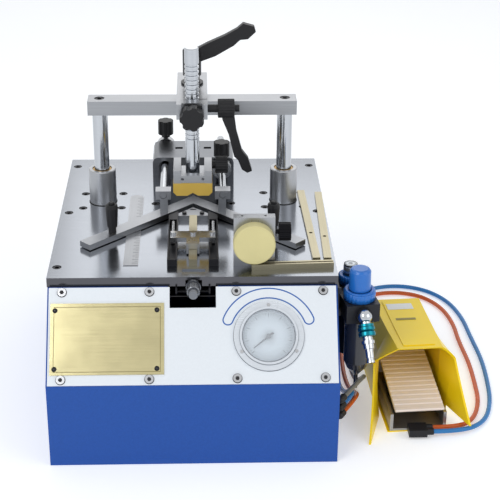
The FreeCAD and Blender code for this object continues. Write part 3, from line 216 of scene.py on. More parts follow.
class Shop:
    """Every finish of the machine, made once."""

    BOOK = (
        Finish("white_enamel", (0.80, 0.84, 0.88), 0.30, coat=0.35, tone=0.02, bump=0.04),
        Finish("blue_enamel", (0.008, 0.075, 0.36), 0.36, coat=0.05, tone=0.08, bump=0.05),
        Finish("table_steel", (0.33, 0.35, 0.385), 0.17, 1.0, Grain.ALONG_X, 0.05, 0.05, 0.02),
        Finish("ground_x", (0.36, 0.37, 0.39), 0.32, 1.0, Grain.ALONG_X, 0.08, 0.10, 0.05),
        Finish("ground_y", (0.36, 0.37, 0.39), 0.32, 1.0, Grain.ALONG_Y, 0.08, 0.10, 0.05),
        Finish("turned_steel", (0.40, 0.41, 0.43), 0.34, 1.0, Grain.ROUND, 0.07, 0.08, 0.05),
        Finish("hard_chrome", (0.50, 0.52, 0.55), 0.13, 1.0, Grain.ROUND, 0.03, 0.04, 0.01),
        Finish("bright_steel", (0.46, 0.47, 0.49), 0.26, 1.0, Grain.CLOUDY, 0.06, 0.08, 0.02),
        Finish("black_oxide", (0.018, 0.018, 0.022), 0.38, 0.6, Grain.MOULDED, 0.2, 0.1, 0.05),
        Finish("moulded_black", (0.012, 0.012, 0.014), 0.42, 0.0, Grain.MOULDED, 0.2, 0.08,
               0.12),
        Finish("gauge_rim", (0.66, 0.70, 0.75), 0.26, 0.55, Grain.ROUND, 0.05, 0.06, 0.02),
        Finish("polished_brass", (0.52, 0.47, 0.27), 0.2, 1.0, Grain.ALONG_X, 0.09, 0.10,
               0.04, patch=0.6),
        Finish("rail_brass", (0.42, 0.38, 0.26), 0.30, 1.0, Grain.ALONG_Y, 0.10, 0.08, 0.04),
        Finish("bronze", (0.42, 0.28, 0.12), 0.4, 1.0, Grain.ROUND, 0.1, 0.08, 0.05),
        Finish("cast_urethane", (0.60, 0.40, 0.07), 0.3, 0.0, Grain.CLOUDY, 0.07, 0.05, 0.05,
               coat=0.15, patch=0.7),
        Finish("pale_urethane", (0.68, 0.61, 0.30), 0.42, 0.0, Grain.CLOUDY, 0.05, 0.05, 0.05,
               patch=0.7),
        Finish("blue_cap", (0.018, 0.16, 0.56), 0.30, 0.0, Grain.MOULDED, 0.08, 0.05, 0.04,
               coat=0.3),
        Finish("body_black", (0.014, 0.015, 0.020), 0.40, 0.0, Grain.MOULDED, 0.2, 0.1, 0.08),
        Finish("smoked_bowl", (0.035, 0.037, 0.042), 0.16, 0.0, Grain.CLOUDY, 0.15, 0.05, 0.0,
               coat=0.6),
        Finish("teal_anodised", (0.010, 0.20, 0.26), 0.24, 0.9, Grain.ROUND, 0.08, 0.06, 0.02),
        Finish("grey_tube", (0.20, 0.20, 0.18), 0.3, 0.0, Grain.CLOUDY, 0.1, 0.05, 0.0),
        Finish("blue_tube", (0.030, 0.20, 0.50), 0.26, 0.0, Grain.CLOUDY, 0.1, 0.05, 0.0),
        Finish("orange_tube", (0.62, 0.11, 0.02), 0.26, 0.0, Grain.CLOUDY, 0.1, 0.05, 0.0),
        Finish("yellow_guard", (0.98, 0.70, 0.008), 0.34, 0.0, Grain.PEEL, 0.02, 0.05, 0.05,
               coat=0.05),
        Finish("tread_alloy", (0.90, 0.78, 0.68), 0.42, 0.0, Grain.ALONG_X, 0.08, 0.08, 0.05),
        Finish("dial_paper", (0.72, 0.79, 0.84), 0.5, 0.0, Grain.MOULDED, 0.02, 0.03, 0.0),
        Finish("dial_ink", (0.01, 0.01, 0.012), 0.5, 0.0, Grain.MOULDED, 0.05, 0.03, 0.0),
        Finish("band_ink", (0.02, 0.12, 0.42), 0.4, 0.0, Grain.PEEL, 0.05, 0.04, 0.0),
        Finish("bare_label", (0.80, 0.80, 0.76), 0.45, 0.0, Grain.PEEL, 0.02, 0.03, 0.01),
        # Flat black for the sleeve rings, and the painted shade of the panel screws.
        Finish("flat_black_and_painted_shade", (0.02, 0.02, 0.022), 0.6, 0.0, Grain.MOULDED, 0.1, 0.05, 0.05),
        Finish("dark_ground", (0.20, 0.21, 0.23), 0.3, 1.0, Grain.ALONG_X, 0.1, 0.08, 0.05),
        Finish("tray_alloy", (0.42, 0.41, 0.39), 0.34, 0.9, Grain.ALONG_X, 0.1, 0.08, 0.05),
        Finish("clear_dome", (0.42, 0.45, 0.48), 0.12, 0.7, Grain.CLOUDY, 0.08, 0.04, 0.0,
               coat=0.4),
        Finish("pad_plate_steel", (0.36, 0.37, 0.39), 0.3, 1.0, Grain.ALONG_Z, 0.08, 0.1, 0.05),
        Finish("line_grey", (0.16, 0.17, 0.19), 0.5, 0.0, Grain.MOULDED, 0.05, 0.05, 0.0),
        Finish("brass_line", (0.20, 0.17, 0.08), 0.4, 1.0, Grain.CLOUDY, 0.1, 0.06, 0.0),
        Finish("hood_shade", (0.30, 0.25, 0.06), 0.5, 0.0, Grain.PEEL, 0.05, 0.05, 0.02),
    )

    def __init__(self) -> None:
        """Build all finishes and the glass."""
        self.nets = {finish.name: finish.make() for finish in self.BOOK}
        glass = Net("gauge_glass_clear")
        glass.shader.inputs["Base Color"].default_value = (0.9, 0.95, 1.0, 1.0)
        glass.shader.inputs["Roughness"].default_value = 0.05
        swirl = glass.noise(Grain.CLOUDY.value)
        glass.plug(glass.shader.inputs["Alpha"], swirl * 0.06 + 0.22)
        self.nets["clear_glass"] = glass
        # Painted shade: the steel plate's front edge is darkened.
        self._shade("table_steel", (0.10, 0.10, 0.11), self._painted_edge_shade)
        # Painted shade: the blue shell goes near black on the rim behind the latch opening.
        self._shade("blue_enamel", (0.004, 0.004, 0.006), self._painted_mouth_shade)
        self._shade("pad_plate_steel", (0.012, 0.012, 0.014), self._pad_knob)

    def _shade(self, name: str, dark: tuple[float, float, float], where: object) -> None:
        """Blend a finish into a darker colour in one region of the object.

        Args:
            name: Finish to change.
            dark: Colour in the region.
            where: Method that gives the region's factor.
        """
        net = self.nets[name]
        base = net.shader.inputs["Base Color"]
        first = Sock(net, base.links[0].from_socket)
        net.plug(base, net.mix(where(net), first, dark))

    @staticmethod
    def _painted_edge_shade(net: Net) -> Sock:
        """One on the plate's front edge, where the steel is darkened as painted shade."""
        spot = net.add("ShaderNodeTexCoord", {}, {}, "Object")
        return 1 - net.add("ShaderNodeSeparateXYZ", {}, {0: spot}, "Y").above(PLATE_FRONT_M)

    @staticmethod
    def _pad_knob(net: Net) -> Sock:
        """One on the knob at the side of the spare pad's plate."""
        spot = net.add("ShaderNodeTexCoord", {}, {}, "Object")
        return net.add("ShaderNodeSeparateXYZ", {}, {0: spot}, "X").above(PAD_KNOB_FROM_M)

    @staticmethod
    def _painted_mouth_shade(net: Net) -> Sock:
        """One on the shell's rim behind the latch opening, where the blue is painted near black
        as shade.
        """
        spot = net.add("ShaderNodeTexCoord", {}, {}, "Object")
        across = net.add("ShaderNodeSeparateXYZ", {}, {0: spot}, "X")
        along = net.add("ShaderNodeSeparateXYZ", {}, {0: spot}, "Y")
        near = net.absolute(across)
        side = (1 - near.above(MOUTH_HALF_M)) * (1 - along.above(MOUTH_BACK_M))
        return side * net.height().above(MOUTH_LOW_M)

    def get(self, name: str) -> bpy.types.Material:
        """Material by its finish name."""
        return self.nets[name].material


class Build:
    """Small mesh helpers; each piece's place is in its mesh."""

    @staticmethod
    def piece(name: str, mesh: bmesh.types.BMesh, place: Matrix, material: bpy.types.Material,
              body: str, slot: str, smooth: bool = True) -> bpy.types.Object:
        """Turn a bmesh in millimetres into a finished piece.

        Args:
            name: Piece name.
            mesh: Its shape in its own frame, in millimetres.
            place: Where that frame stands, in millimetres.
            material: Its finish.
            body: CAD body it rides on.
            slot: Record slot it takes its finish from; not used.
            smooth: Whether faces shade smoothly.

        Returns:
            The object.
        """
        bmesh.ops.remove_doubles(mesh, verts=mesh.verts, dist=1e-5)
        bmesh.ops.recalc_face_normals(mesh, faces=mesh.faces)
        data = bpy.data.meshes.new(name)
        mesh.to_mesh(data)
        mesh.free()
        data.transform(Matrix.Scale(MM, 4) @ place)
        for face in data.polygons:
            face.use_smooth = smooth
        data.materials.append(material)
        obj = bpy.data.objects.new(name, data)
        bpy.context.scene.collection.objects.link(obj)
        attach(obj, body)
        LOG.info("made %s", name)
        return obj

    @staticmethod
    def ring(profile: list[tuple[float, float]], start: float = 0.0, sweep: float = 360.0,
             steps: int = 96) -> bmesh.types.BMesh:
        """Closed profile of radius and height swept about Z.

        Args:
            profile: Closed list of radius and height.
            start: First angle in degrees.
            sweep: Angle swept.
            steps: Number of steps.

        Returns:
            The shape.
        """
        mesh = bmesh.new()
        full = sweep >= 360.0
        rows = []
        for k in range(steps if full else steps + 1):
            a = math.radians(start + sweep * k / steps)
            rows.append([mesh.verts.new((r * math.cos(a), r * math.sin(a), z))
                         for r, z in profile])
        count = len(profile)
        for k in range(steps):
            row = rows[k]
            after = rows[(k + 1) % len(rows)]
            for i in range(count):
                j = (i + 1) % count
                mesh.faces.new((row[i], row[j], after[j], after[i]))
        if not full:
            mesh.faces.new(rows[0])
            mesh.faces.new(rows[-1])
        return mesh

    @staticmethod
    def plate(outline: list[tuple[float, float]], low: float, high: float) -> bmesh.types.BMesh:
        """Flat outline raised from one height to another."""
        mesh = bmesh.new()
        base = [mesh.verts.new((x, y, low)) for x, y in outline]
        top = [mesh.verts.new((x, y, high)) for x, y in outline]
        mesh.faces.new(list(reversed(base)))
        mesh.faces.new(top)
        for i in range(len(outline)):
            j = (i + 1) % len(outline)
            mesh.faces.new((base[i], base[j], top[j], top[i]))
        return mesh


@dataclass
class MarkRow:
    """Geometry Nodes tree that repeats a small bar along a line or round a circle."""

    name: str
    count: int
    step: float
    size: tuple[float, float, float]
    circle: float = 0.0
    turn: float = 0.0

    def tree(self, material: bpy.types.Material) -> bpy.types.NodeTree:
        """Build the tree with named size inputs.

        Args:
            material: Finish of the bars.

        Returns:
            The node tree.
        """
        tree = bpy.data.node_groups.new(self.name, "GeometryNodeTree")
        face = tree.interface
        face.new_socket("Geometry", in_out="OUTPUT", socket_type="NodeSocketGeometry")
        count = face.new_socket("Count", in_out="INPUT", socket_type="NodeSocketInt")
        count.default_value = self.count
        step = face.new_socket("Step", in_out="INPUT", socket_type="NodeSocketFloat")
        step.default_value = self.step
        size = face.new_socket("Bar size", in_out="INPUT", socket_type="NodeSocketVector")
        size.default_value = self.size
        nodes, links = tree.nodes, tree.links
        given = nodes.new("NodeGroupInput")
        done = nodes.new("NodeGroupOutput")
        bar = nodes.new("GeometryNodeMeshCube")
        links.new(given.outputs["Bar size"], bar.inputs["Size"])
        index = nodes.new("GeometryNodeInputIndex")
        line = nodes.new("GeometryNodeMeshLine")
        links.new(given.outputs["Count"], line.inputs["Count"])
        product = nodes.new("ShaderNodeMath")
        product.operation = "MULTIPLY"
        links.new(index.outputs[0], product.inputs[0])
        links.new(given.outputs["Step"], product.inputs[1])
        place = nodes.new("ShaderNodeCombineXYZ")
        angle = nodes.new("ShaderNodeCombineXYZ")
        if self.circle:
            shifted = nodes.new("ShaderNodeMath")
            shifted.operation = "ADD"
            links.new(product.outputs[0], shifted.inputs[0])
            shifted.inputs[1].default_value = self.turn
            for kind, socket in (("COSINE", 0), ("SINE", 1)):
                wave = nodes.new("ShaderNodeMath")
                wave.operation = kind
                links.new(shifted.outputs[0], wave.inputs[0])
                reach = nodes.new("ShaderNodeMath")
                reach.operation = "MULTIPLY"
                links.new(wave.outputs[0], reach.inputs[0])
                reach.inputs[1].default_value = self.circle
                links.new(reach.outputs[0], place.inputs[socket])
            links.new(shifted.outputs[0], angle.inputs[2])
        else:
            links.new(product.outputs[0], place.inputs[1])
        spot = nodes.new("GeometryNodeSetPosition")
        links.new(line.outputs[0], spot.inputs["Geometry"])
        links.new(place.outputs[0], spot.inputs["Position"])
        copies = nodes.new("GeometryNodeInstanceOnPoints")
        links.new(spot.outputs[0], copies.inputs["Points"])
        links.new(bar.outputs["Mesh"], copies.inputs["Instance"])
        links.new(angle.outputs[0], copies.inputs["Rotation"])
        real = nodes.new("GeometryNodeRealizeInstances")
        links.new(copies.outputs[0], real.inputs[0])
        dressed = nodes.new("GeometryNodeSetMaterial")
        dressed.inputs["Material"].default_value = material
        links.new(real.outputs[0], dressed.inputs["Geometry"])
        links.new(dressed.outputs[0], done.inputs[0])
        return tree

    def make(self, place: Matrix, material: bpy.types.Material, body: str,
             slot: str) -> bpy.types.Object:
        """Evaluate the tree into one plain mesh.

        Args:
            place: Where the row stands, in millimetres.
            material: Its finish.
            body: CAD body it rides on.
            slot: Record slot it takes its finish from; not used.

        Returns:
            The object.
        """
        host = bpy.data.objects.new(self.name + "_host", bpy.data.meshes.new(self.name))
        bpy.context.scene.collection.objects.link(host)
        change = host.modifiers.new("Marks", "NODES")
        change.node_group = self.tree(material)
        bpy.context.view_layer.update()
        seen = host.evaluated_get(bpy.context.evaluated_depsgraph_get())
        data = bpy.data.meshes.new_from_object(seen)
        bpy.data.objects.remove(host)
        data.transform(Matrix.Scale(MM, 4) @ place)
        obj = bpy.data.objects.new(self.name, data)
        bpy.context.scene.collection.objects.link(obj)
        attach(obj, body)
        LOG.info("made %s", self.name)
        return obj


def slope_place() -> Matrix:
    """Frame of the sloped panel: X across, Y up the slope, Z out of it."""
    return Matrix.Translation((0, -154, 202)) @ Matrix.Rotation(math.atan2(92, 76), 4, "X")


def pedal_place() -> Matrix:
    """Frame of the foot pedal."""
    return Matrix.Translation((276, -80, 0)) @ Matrix.Rotation(math.radians(4), 4, "Z")


@dataclass
class FrontPanel:
    """Painted band, dial and other dressing of the sloped panel."""

    shop: Shop
    gauge: tuple[float, float] = (90.0, -61.5)
    band: tuple[float, float] = (46.5, 58.3)
    band_angles: tuple[float, float] = (22.4, 157.6)
    line: float = 1.5

    def build(self) -> None:
        """Make the band outline, the dial face and its marks."""
        place = slope_place() @ Matrix.Translation((*self.gauge, 0))
        low, high = self.band
        first, last = self.band_angles
        shape = bmesh.new()
        for radius in (low, high):
            ring = Build.ring([(radius - self.line / 2, 2.4), (radius + self.line / 2, 2.4),
                               (radius + self.line / 2, 2.62), (radius - self.line / 2, 2.62)],
                              first, last - first, 64)
            self._join(shape, ring)
        middle = (low + high) / 2
        half = (high - low) / 2
        for angle, side in ((first, -90.0), (last, 90.0)):
            end = Build.ring([(half - self.line / 2, 2.4), (half + self.line / 2, 2.4),
                              (half + self.line / 2, 2.62), (half - self.line / 2, 2.62)],
                             angle + side - 90.0, 180.0, 24)
            a = math.radians(angle)
            bmesh.ops.translate(end, verts=end.verts,
                                vec=(middle * math.cos(a), middle * math.sin(a), 0))
            self._join(shape, end)
        Build.piece("gauge_band", shape, place, self.shop.get("band_ink"), "cabinet",
                    "blue_paint", False)
        self._plate_border()
        self._sockets()
        edges = bmesh.new()
        for radius, low in ((42.05, 2.52), (35.05, 5.52), (31.2, 6.55)):
            self._join(edges, Build.ring([(radius, low), (radius + 0.5, low),
                                          (radius + 0.5, low + 0.1), (radius, low + 0.1)]))
        Build.piece("gauge_edges", edges, place, self.shop.get("line_grey"), "cabinet",
                    "gauge_black", False)
        Build.piece("dial_face", Build.ring([(1.2, 0.05), (30.2, 0.05), (30.2, 0.3),
                                             (1.2, 0.3)]), place,
                    self.shop.get("dial_paper"), "cabinet", "white_paint")
        step = math.radians(270.0 / 40)
        MarkRow("dial_marks", 41, step, (2.6, 0.35, 0.1), 27.2, math.radians(-45.0)).make(
            place @ Matrix.Translation((0, 0, 0.36)), self.shop.get("dial_ink"), "cabinet",
            "pointer_black")
        MarkRow("dial_main_marks", 9, step * 5, (4.6, 0.7, 0.1), 26.2,
                math.radians(-45.0)).make(place @ Matrix.Translation((0, 0, 0.38)),
                                          self.shop.get("dial_ink"), "cabinet",
                                          "pointer_black")

    def _plate_border(self) -> None:
        """Engraved border line of the brass plate, inside its groove."""
        shape = bmesh.new()
        for low_x, high_x, low_y, high_y in ((-165.5, -38.6, -103, -102.2),
                                             (-165.5, -38.6, -24.8, -24),
                                             (-165.5, -164.7, -102.2, -24.8),
                                             (-39.4, -38.6, -102.2, -24.8)):
            self._join(shape, Build.plate([(low_x, low_y), (high_x, low_y),
                                           (high_x, high_y), (low_x, high_y)], 3.45, 3.72))
        Build.piece("plate_border", shape, slope_place(), self.shop.get("brass_line"),
                    "cabinet", "brass_plate", False)

    def _sockets(self) -> None:
        """Painted shade: dark hexagons for the shaded socket holes in the panel screws, and
        dark rings on the panel round the heads.
        """
        shape = bmesh.new()
        for x in (-156.4, -52.0, 52.0, 156.4):
            for y in (-6.3, -111.7):
                # Painted shade: a dark hexagon stands for the shaded socket hole.
                hexagon = [(x + 2.5 * math.cos(math.radians(60 * k)),
                            y + 2.5 * math.sin(math.radians(60 * k))) for k in range(6)]
                self._join(shape, Build.plate(hexagon, 3.75, 3.95))
                # Painted shade: a flat dark ring on the panel round the screw head.
                ring = Build.ring([(5.2, PANEL_FACE + 0.02), (5.9, PANEL_FACE + 0.02),
                                   (5.9, PANEL_FACE + 0.1), (5.2, PANEL_FACE + 0.1)], steps=40)
                bmesh.ops.translate(ring, verts=ring.verts, vec=(x, y, 0))
                self._join(shape, ring)
        Build.piece("screw_painted_shade", shape, slope_place(), self.shop.get("flat_black_and_painted_shade"), "cabinet",
                    "dark_screw", False)
        corners = bmesh.new()
        for x in (-164.0, -43.0):
            for y in (-28.5, -99.0):
                ring = Build.ring([(0.2, 4.9), (2.9, 4.5), (3.1, 3.72), (2.45, 3.72),
                                   (2.45, 4.92), (0.2, 4.92)], steps=32)
                bmesh.ops.translate(ring, verts=ring.verts, vec=(x, y, 0.05))
                self._join(corners, ring)
        Build.piece("plate_screw_caps", corners, slope_place(),
                    self.shop.get("black_oxide"), "cabinet", "dark_screw")

    @staticmethod
    def _join(shape: bmesh.types.BMesh, other: bmesh.types.BMesh) -> None:
        """Copy one bmesh into another."""
        data = bpy.data.meshes.new("part")
        other.to_mesh(data)
        other.free()
        shape.from_mesh(data)
        bpy.data.meshes.remove(data)


@dataclass
class Table:
    """Dressing of the top plate: scale marks and thin black rings round the sleeve feet."""

    shop: Shop
    strip: tuple[float, float, float] = (-85.0, -67.0, 214.8)

    def build(self) -> None:
        """Make the marks and the rings."""
        left, right, top = self.strip
        ink = self.shop.get("dial_ink")
        MarkRow("scale_marks", 41, 5.0, (4.0, 0.35, 0.06)).make(
            Matrix.Translation((right - 2.6, -114, top + 0.03)), ink, "cabinet",
            "pointer_black")
        MarkRow("scale_long_marks", 21, 10.0, (7.0, 0.5, 0.07)).make(
            Matrix.Translation((right - 4.1, -114, top + 0.035)), ink, "cabinet",
            "pointer_black")
        for name, x in (("sleeve_foot_ring_left", -121.0), ("sleeve_foot_ring_right", 121.0)):
            Build.piece(name, Build.ring([(18.1, 214.05), (18.8, 214.05), (18.8, 214.6),
                                          (18.1, 214.8)]),
                        Matrix.Translation((x, 80, 0)), self.shop.get("flat_black_and_painted_shade"), "cabinet",
                        "black_plastic")


@dataclass
class AirUnit:
    """Blue rings, domes and flutes of the air unit."""

    shop: Shop
    ring: float = 19.8
    flutes: int = 24

    def build(self) -> None:
        """Make the blue ring, the lubricator's cap and dome, and the cap's ribs."""
        place = Matrix.Translation((203, -140, 0)) @ Matrix.Rotation(math.radians(9), 4, "Z")
        blue = self.shop.get("blue_cap")
        Build.piece("regulator_ring", self._fluted(self.ring, 178.3, 189.2, 17.0), place, blue,
                    "cabinet", "knob_blue")
        Build.piece("regulator_collar", Build.ring([(14.2, 189.3), (18.7, 189.3),
                                                    (18.2, 190.8), (14.2, 190.8)]), place,
                    blue, "cabinet", "knob_blue")
        second = place @ Matrix.Translation((0, 45, 0))
        Build.piece("lubricator_cap", self._fluted(15.0, 177.4, 189.2, 9.0), second, blue,
                    "cabinet", "knob_blue")
        Build.piece("lubricator_dome", Build.ring([(0.2, 189.3), (8.9, 189.3), (8.9, 200),
                                                   (7.6, 203.3), (0.2, 203.6)]), second,
                    self.shop.get("clear_dome"), "cabinet", "clear_glass")

    def _fluted(self, radius: float, low: float, high: float, inner: float
                ) -> bmesh.types.BMesh:
        """Ring with shallow flutes round its edge."""
        steps = self.flutes * 6
        mesh = bmesh.new()
        rows = []
        for k in range(steps):
            a = math.tau * k / steps
            dent = 0.5 * max(0.0, math.cos(a * self.flutes))
            spots = ((inner, low), (radius - dent, low), (radius - dent, high - 1),
                     (radius - dent - 1, high), (inner, high))
            rows.append([mesh.verts.new((r * math.cos(a), r * math.sin(a), z))
                         for r, z in spots])
        for k, row in enumerate(rows):
            after = rows[(k + 1) % steps]
            for i in range(5):
                j = (i + 1) % 5
                mesh.faces.new((row[i], row[j], after[j], after[i]))
        return mesh


@dataclass
class AirTube:
    """One air tube along its route."""

    name: str
    finish: str
    length: float
    route: list[tuple[float, float, float]]
    diameter: float = 6.0

    def build(self, shop: Shop) -> None:
        """Make the smooth tube, which stands for its CAD solid.

        Args:
            shop: The finishes.
        """
        curve = bpy.data.curves.new(self.name + "_run", "CURVE")
        curve.dimensions = "3D"
        curve.bevel_depth = self.diameter / 2 * MM
        curve.bevel_resolution = 4
        curve.use_fill_caps = True
        curve.resolution_u = 10
        spline = curve.splines.new("NURBS")
        spline.points.add(len(self.route) - 1)
        for point, spot in zip(spline.points, self.route):
            point.co = (*(c * MM for c in spot), 1.0)
        spline.order_u = 3
        spline.use_endpoint_u = True
        curve.materials.append(shop.get(self.finish))
        obj = bpy.data.objects.new(self.name + "_run", curve)
        bpy.context.scene.collection.objects.link(obj)
        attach(obj, "cabinet")
        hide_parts(self.name)
        [c * MM for c in self.route[0]]
        self.diameter * MM


LEAD = (0.5, math.sqrt(0.75), 0.0)
PEDAL_IN = pedal_place() @ Vector((-3.2, 120.8, 16))
PEDAL_END = pedal_place() @ Vector((-3.2, 88.8, 16))


def fitting_end(height: float) -> tuple[float, float, float]:
    """End of a push-in fitting on the cabinet's side."""
    return (178.5 + LEAD[0] * 9, -200.0 + LEAD[1] * 9, height)


TUBES = (
    AirTube("tube_grey", "grey_tube", 646, [
        fitting_end(69.0), (212.5, -143.2, 69), (219, -97, 40), (214, -52, 6), (211, 0, 3.2),
        (214, 45, 3.2), (222, 90, 3.2), (240, 135, 3.2), (262, 168, 3.2), (290, 181, 3.2),
        (318, 172, 3.2), (333, 144, 3.2), (326, 112, 3.2), (299, 92, 5), (273, 71, 11),
        tuple(PEDAL_IN), tuple(PEDAL_END)]),
    AirTube("tube_blue", "blue_tube", 1008, [
        fitting_end(58.6), (198, -166.2, 58.6), (199, -131, 40), (194, -92, 14),
        (191, -50, 3.2), (194, 10, 3.2), (190, 70, 3.2), (194, 130, 3.2), (212, 180, 3.2),
        (250, 218, 3.2), (300, 236, 3.2), (346, 222, 3.2), (376, 184, 3.2), (389, 130, 3.2),
        (391, 72, 3.2), (395, 10, 3.2), (392, -50, 3.2), (386, -104, 3.2), (370, -150, 3.2),
        (336, -179.5, 9), (299, -179.5, 9)]),
    AirTube("tube_orange", "orange_tube", 931, [
        fitting_end(47.0), (205.5, -153.2, 47), (207, -112, 26), (203, -68, 6),
        (200.5, -20, 3.2), (204, 40, 3.2), (201, 100, 3.2), (210, 150, 3.2), (240, 192, 3.2),
        (288, 214, 3.2), (334, 204, 3.2), (362, 168, 3.2), (373, 116, 3.2), (372, 60, 3.2),
        (376, 0, 3.2), (374, -56, 3.2), (371, -100, 3.2), (358, -141, 3.6), (335, -170, 9),
        (299, -170, 9)]),
)


@dataclass
class Pedal:
    """Dressing of the foot pedal."""

    shop: Shop

    def build(self) -> None:
        """Make the bare label, and a dark sheet of painted shade in the slot on the hood's top
        band.
        """
        # hood_shade is the guard's yellow darkened: painted shade in the slot.
        for name, half, low, high, finish in (("hood_label", 17, 48, 66, "bare_label"),
                                              ("hood_slot_shade", 13, 14, 20, "hood_shade")):
            mesh = Build.plate([(-half, low), (half, low), (half, high), (-half, high)], 0.0,
                               0.35)
            tilt = Matrix.Translation((0, 78, 101.75)) @ Matrix.Rotation(
                math.atan2(-6.5, 93), 4, "X") @ Matrix.Translation((0, -78, 0))
            Build.piece(name, mesh, pedal_place() @ tilt, self.shop.get(finish), "cabinet",
                        "white_paint" if name == "hood_label" else "yellow_paint", False)


NODE_FINISH = {
    "cabinet_shell": "blue_enamel", "base_cover": "blue_enamel", "front_panel": "white_enamel",
    "name_plate": "polished_brass", "panel_screws": "bright_steel", "gauge_case": "gauge_rim",
    "gauge_glass": "clear_glass", "gauge_pointer": "dial_ink", "top_plate": "table_steel",
    "plate_screws": "black_oxide", "guide_sleeves": "turned_steel", "guide_bushes": "bronze",
    "guide_columns": "hard_chrome", "crossbar": "ground_x", "crossbar_fixings": "black_oxide",
    "lower_yoke": "ground_x", "air_cylinders": "turned_steel", "driver_blade": "bright_steel",
    "driver_head": "ground_x", "magazine_body": "black_oxide", "nail_rail": "rail_brass",
    "pusher_bar": "bright_steel", "pusher_springs": "bright_steel",
    "pull_knob": "dark_ground", "scale_strip": "ground_y", "guide_bridge": "dark_ground",
    "v_fence": "ground_x", "fence_blocks": "ground_x", "fence_rods": "hard_chrome",
    "fence_handles": "moulded_black", "stop_collar_right": "bright_steel",
    "stop_collar_left": "bright_steel", "collar_knob_right": "moulded_black",
    "collar_knob_left": "moulded_black", "clamp_block": "ground_y",
    "clamp_shaft": "hard_chrome", "index_knob": "moulded_black", "side_lever": "moulded_black",
    "top_lever": "moulded_black", "pad_holder": "ground_x", "pressure_pad": "cast_urethane",
    "pad_knob": "moulded_black", "regulator_body": "body_black", "regulator_knob": "blue_cap",
    "filter_bowl": "smoked_bowl", "lubricator": "body_black", "air_bracket": "body_black",
    "air_coupling": "hard_chrome", "slide_sleeve": "teal_anodised",
    "tube_fittings": "moulded_black", "pedal_base": "tray_alloy", "foot_valve": "body_black",
    "pedal_plate": "tread_alloy", "pedal_guard": "yellow_guard",
    "spare_pad_plate": "pad_plate_steel", "spare_round_pad": "pale_urethane",
    "spare_rails": "rail_brass",
}


def dress_nodes(shop: Shop) -> None:
    """Give every CAD node its finish.

    Args:
        shop: The finishes.
    """
    for name, finish in NODE_FINISH.items():
        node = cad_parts[name]
        node.data.materials.clear()
        node.data.materials.append(shop.get(finish))
    LOG.info("dressed %d nodes", len(NODE_FINISH))


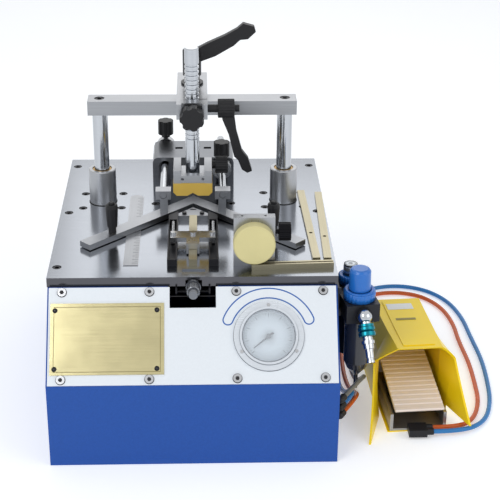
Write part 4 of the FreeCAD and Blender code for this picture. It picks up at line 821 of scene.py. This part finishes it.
@dataclass
class Studio:
    """Floor, light and camera."""

    shop: Shop
    spot: tuple[float, float, float] = (13.1, -1627.7, 953.5)
    pitch: float = 25.49
    yaw: float = 0.0374
    roll: float = 0.00825
    lens: float = 99.06

    def build(self) -> None:
        """Make the floor, the lamps, the sky and the camera."""
        self._floor()
        self._sky()
        self._lamp("key", (-900, -1300, 1500), (0, 0, 150), 11.5, 900)
        self._lamp("fill", (1300, -900, 900), (60, 0, 150), 4.6, 1100)
        self._lamp("rear", (200, 1500, 1400), (0, 0, 200), 4.0, 1200)
        self._camera()

    def _floor(self) -> None:
        """Pale floor that keeps the shadow but shows white to the camera."""
        mesh = bmesh.new()
        bmesh.ops.create_grid(mesh, x_segments=1, y_segments=1, size=8.0)
        data = bpy.data.meshes.new("floor")
        mesh.to_mesh(data)
        mesh.free()
        data.transform(Matrix.Translation((0, 0, -0.0002)))
        net = Net("pale_floor")
        net.shader.inputs["Roughness"].default_value = 0.7
        net.shader.inputs["Specular IOR Level"].default_value = 0.1
        slow = net.noise((3.0, 3.0, 3.0))
        net.plug(net.shader.inputs["Base Color"],
                 net.mix(slow, (0.84, 0.85, 0.86), (0.88, 0.89, 0.90)))
        net.shader.inputs["Emission Color"].default_value = (1, 1, 1, 1)
        net.shader.inputs["Emission Strength"].default_value = 0.36
        data.materials.append(net.material)
        floor = bpy.data.objects.new("floor", data)
        bpy.context.scene.collection.objects.link(floor)

    def _sky(self) -> None:
        """White surround for camera, mirror and glass rays, softer light for the rest."""
        world = bpy.data.worlds.new("surround")
        bpy.context.scene.world = world
        world.use_nodes = True
        tree = world.node_tree
        tree.nodes.clear()
        path = tree.nodes.new("ShaderNodeLightPath")
        out = tree.nodes.new("ShaderNodeOutputWorld")
        soft = tree.nodes.new("ShaderNodeBackground")
        soft.inputs["Color"].default_value = (0.93, 0.96, 1.0, 1)
        soft.inputs["Strength"].default_value = 0.6
        white = tree.nodes.new("ShaderNodeBackground")
        white.inputs["Color"].default_value = (1, 1, 1, 1)
        white.inputs["Strength"].default_value = 1.0
        mixed = tree.nodes.new("ShaderNodeMixShader")
        seen = None
        for name in ("Is Camera Ray", "Is Glossy Ray", "Is Transmission Ray"):
            if seen is None:
                seen = path.outputs[name]
                continue
            top = tree.nodes.new("ShaderNodeMath")
            top.operation = "MAXIMUM"
            tree.links.new(seen, top.inputs[0])
            tree.links.new(path.outputs[name], top.inputs[1])
            seen = top.outputs[0]
        tree.links.new(seen, mixed.inputs[0])
        tree.links.new(soft.outputs[0], mixed.inputs[1])
        tree.links.new(white.outputs[0], mixed.inputs[2])
        tree.links.new(mixed.outputs[0], out.inputs[0])

    @staticmethod
    def _lamp(name: str, spot: tuple[float, float, float], aim: tuple[float, float, float],
              power: float, size: float) -> None:
        """Add one soft square lamp.

        Args:
            name: Lamp name.
            spot: Its place in millimetres.
            aim: Where it points.
            power: Watts.
            size: Side in millimetres.
        """
        data = bpy.data.lights.new(name, "AREA")
        data.energy = power
        data.size = size * MM
        obj = bpy.data.objects.new(name, data)
        bpy.context.scene.collection.objects.link(obj)
        obj.location = Vector(spot) * MM
        way = (Vector(aim) - Vector(spot)).normalized()
        obj.rotation_euler = way.to_track_quat("-Z", "Y").to_euler()

    def _camera(self) -> None:
        """Camera at the photograph's viewing angle."""
        data = bpy.data.cameras.new("photo_camera")
        data.lens = self.lens
        data.sensor_width = 36.0
        data.clip_start = 0.05
        data.clip_end = 30.0
        obj = bpy.data.objects.new("photo_camera", data)
        bpy.context.scene.collection.objects.link(obj)
        down = math.radians(self.pitch)
        ahead = Vector((math.sin(self.yaw) * math.cos(down),
                        math.cos(self.yaw) * math.cos(down), -math.sin(down)))
        right = ahead.cross(Vector((0, 0, 1))).normalized()
        up = right.cross(ahead)
        tilt = self.roll
        side = right * math.cos(tilt) + up * math.sin(tilt)
        top = up * math.cos(tilt) - right * math.sin(tilt)
        turn = Matrix((side, top, -ahead)).transposed().to_4x4()
        obj.matrix_world = Matrix.Translation(Vector(self.spot) * MM) @ turn
        bpy.context.scene.camera = obj


def main() -> None:
    """Build the dressed machine, piece by piece."""
    logging.basicConfig(level=logging.INFO)
    bpy.context.scene.view_settings.view_transform = "Standard"
    shop = Shop()
    dress_nodes(shop)
    FrontPanel(shop).build()
    Table(shop).build()
    AirUnit(shop).build()
    Pedal(shop).build()
    for tube in TUBES:
        tube.build(shop)
    Studio(shop).build()
    bpy.context.view_layer.update()


if __name__ == "__main__":
    main()
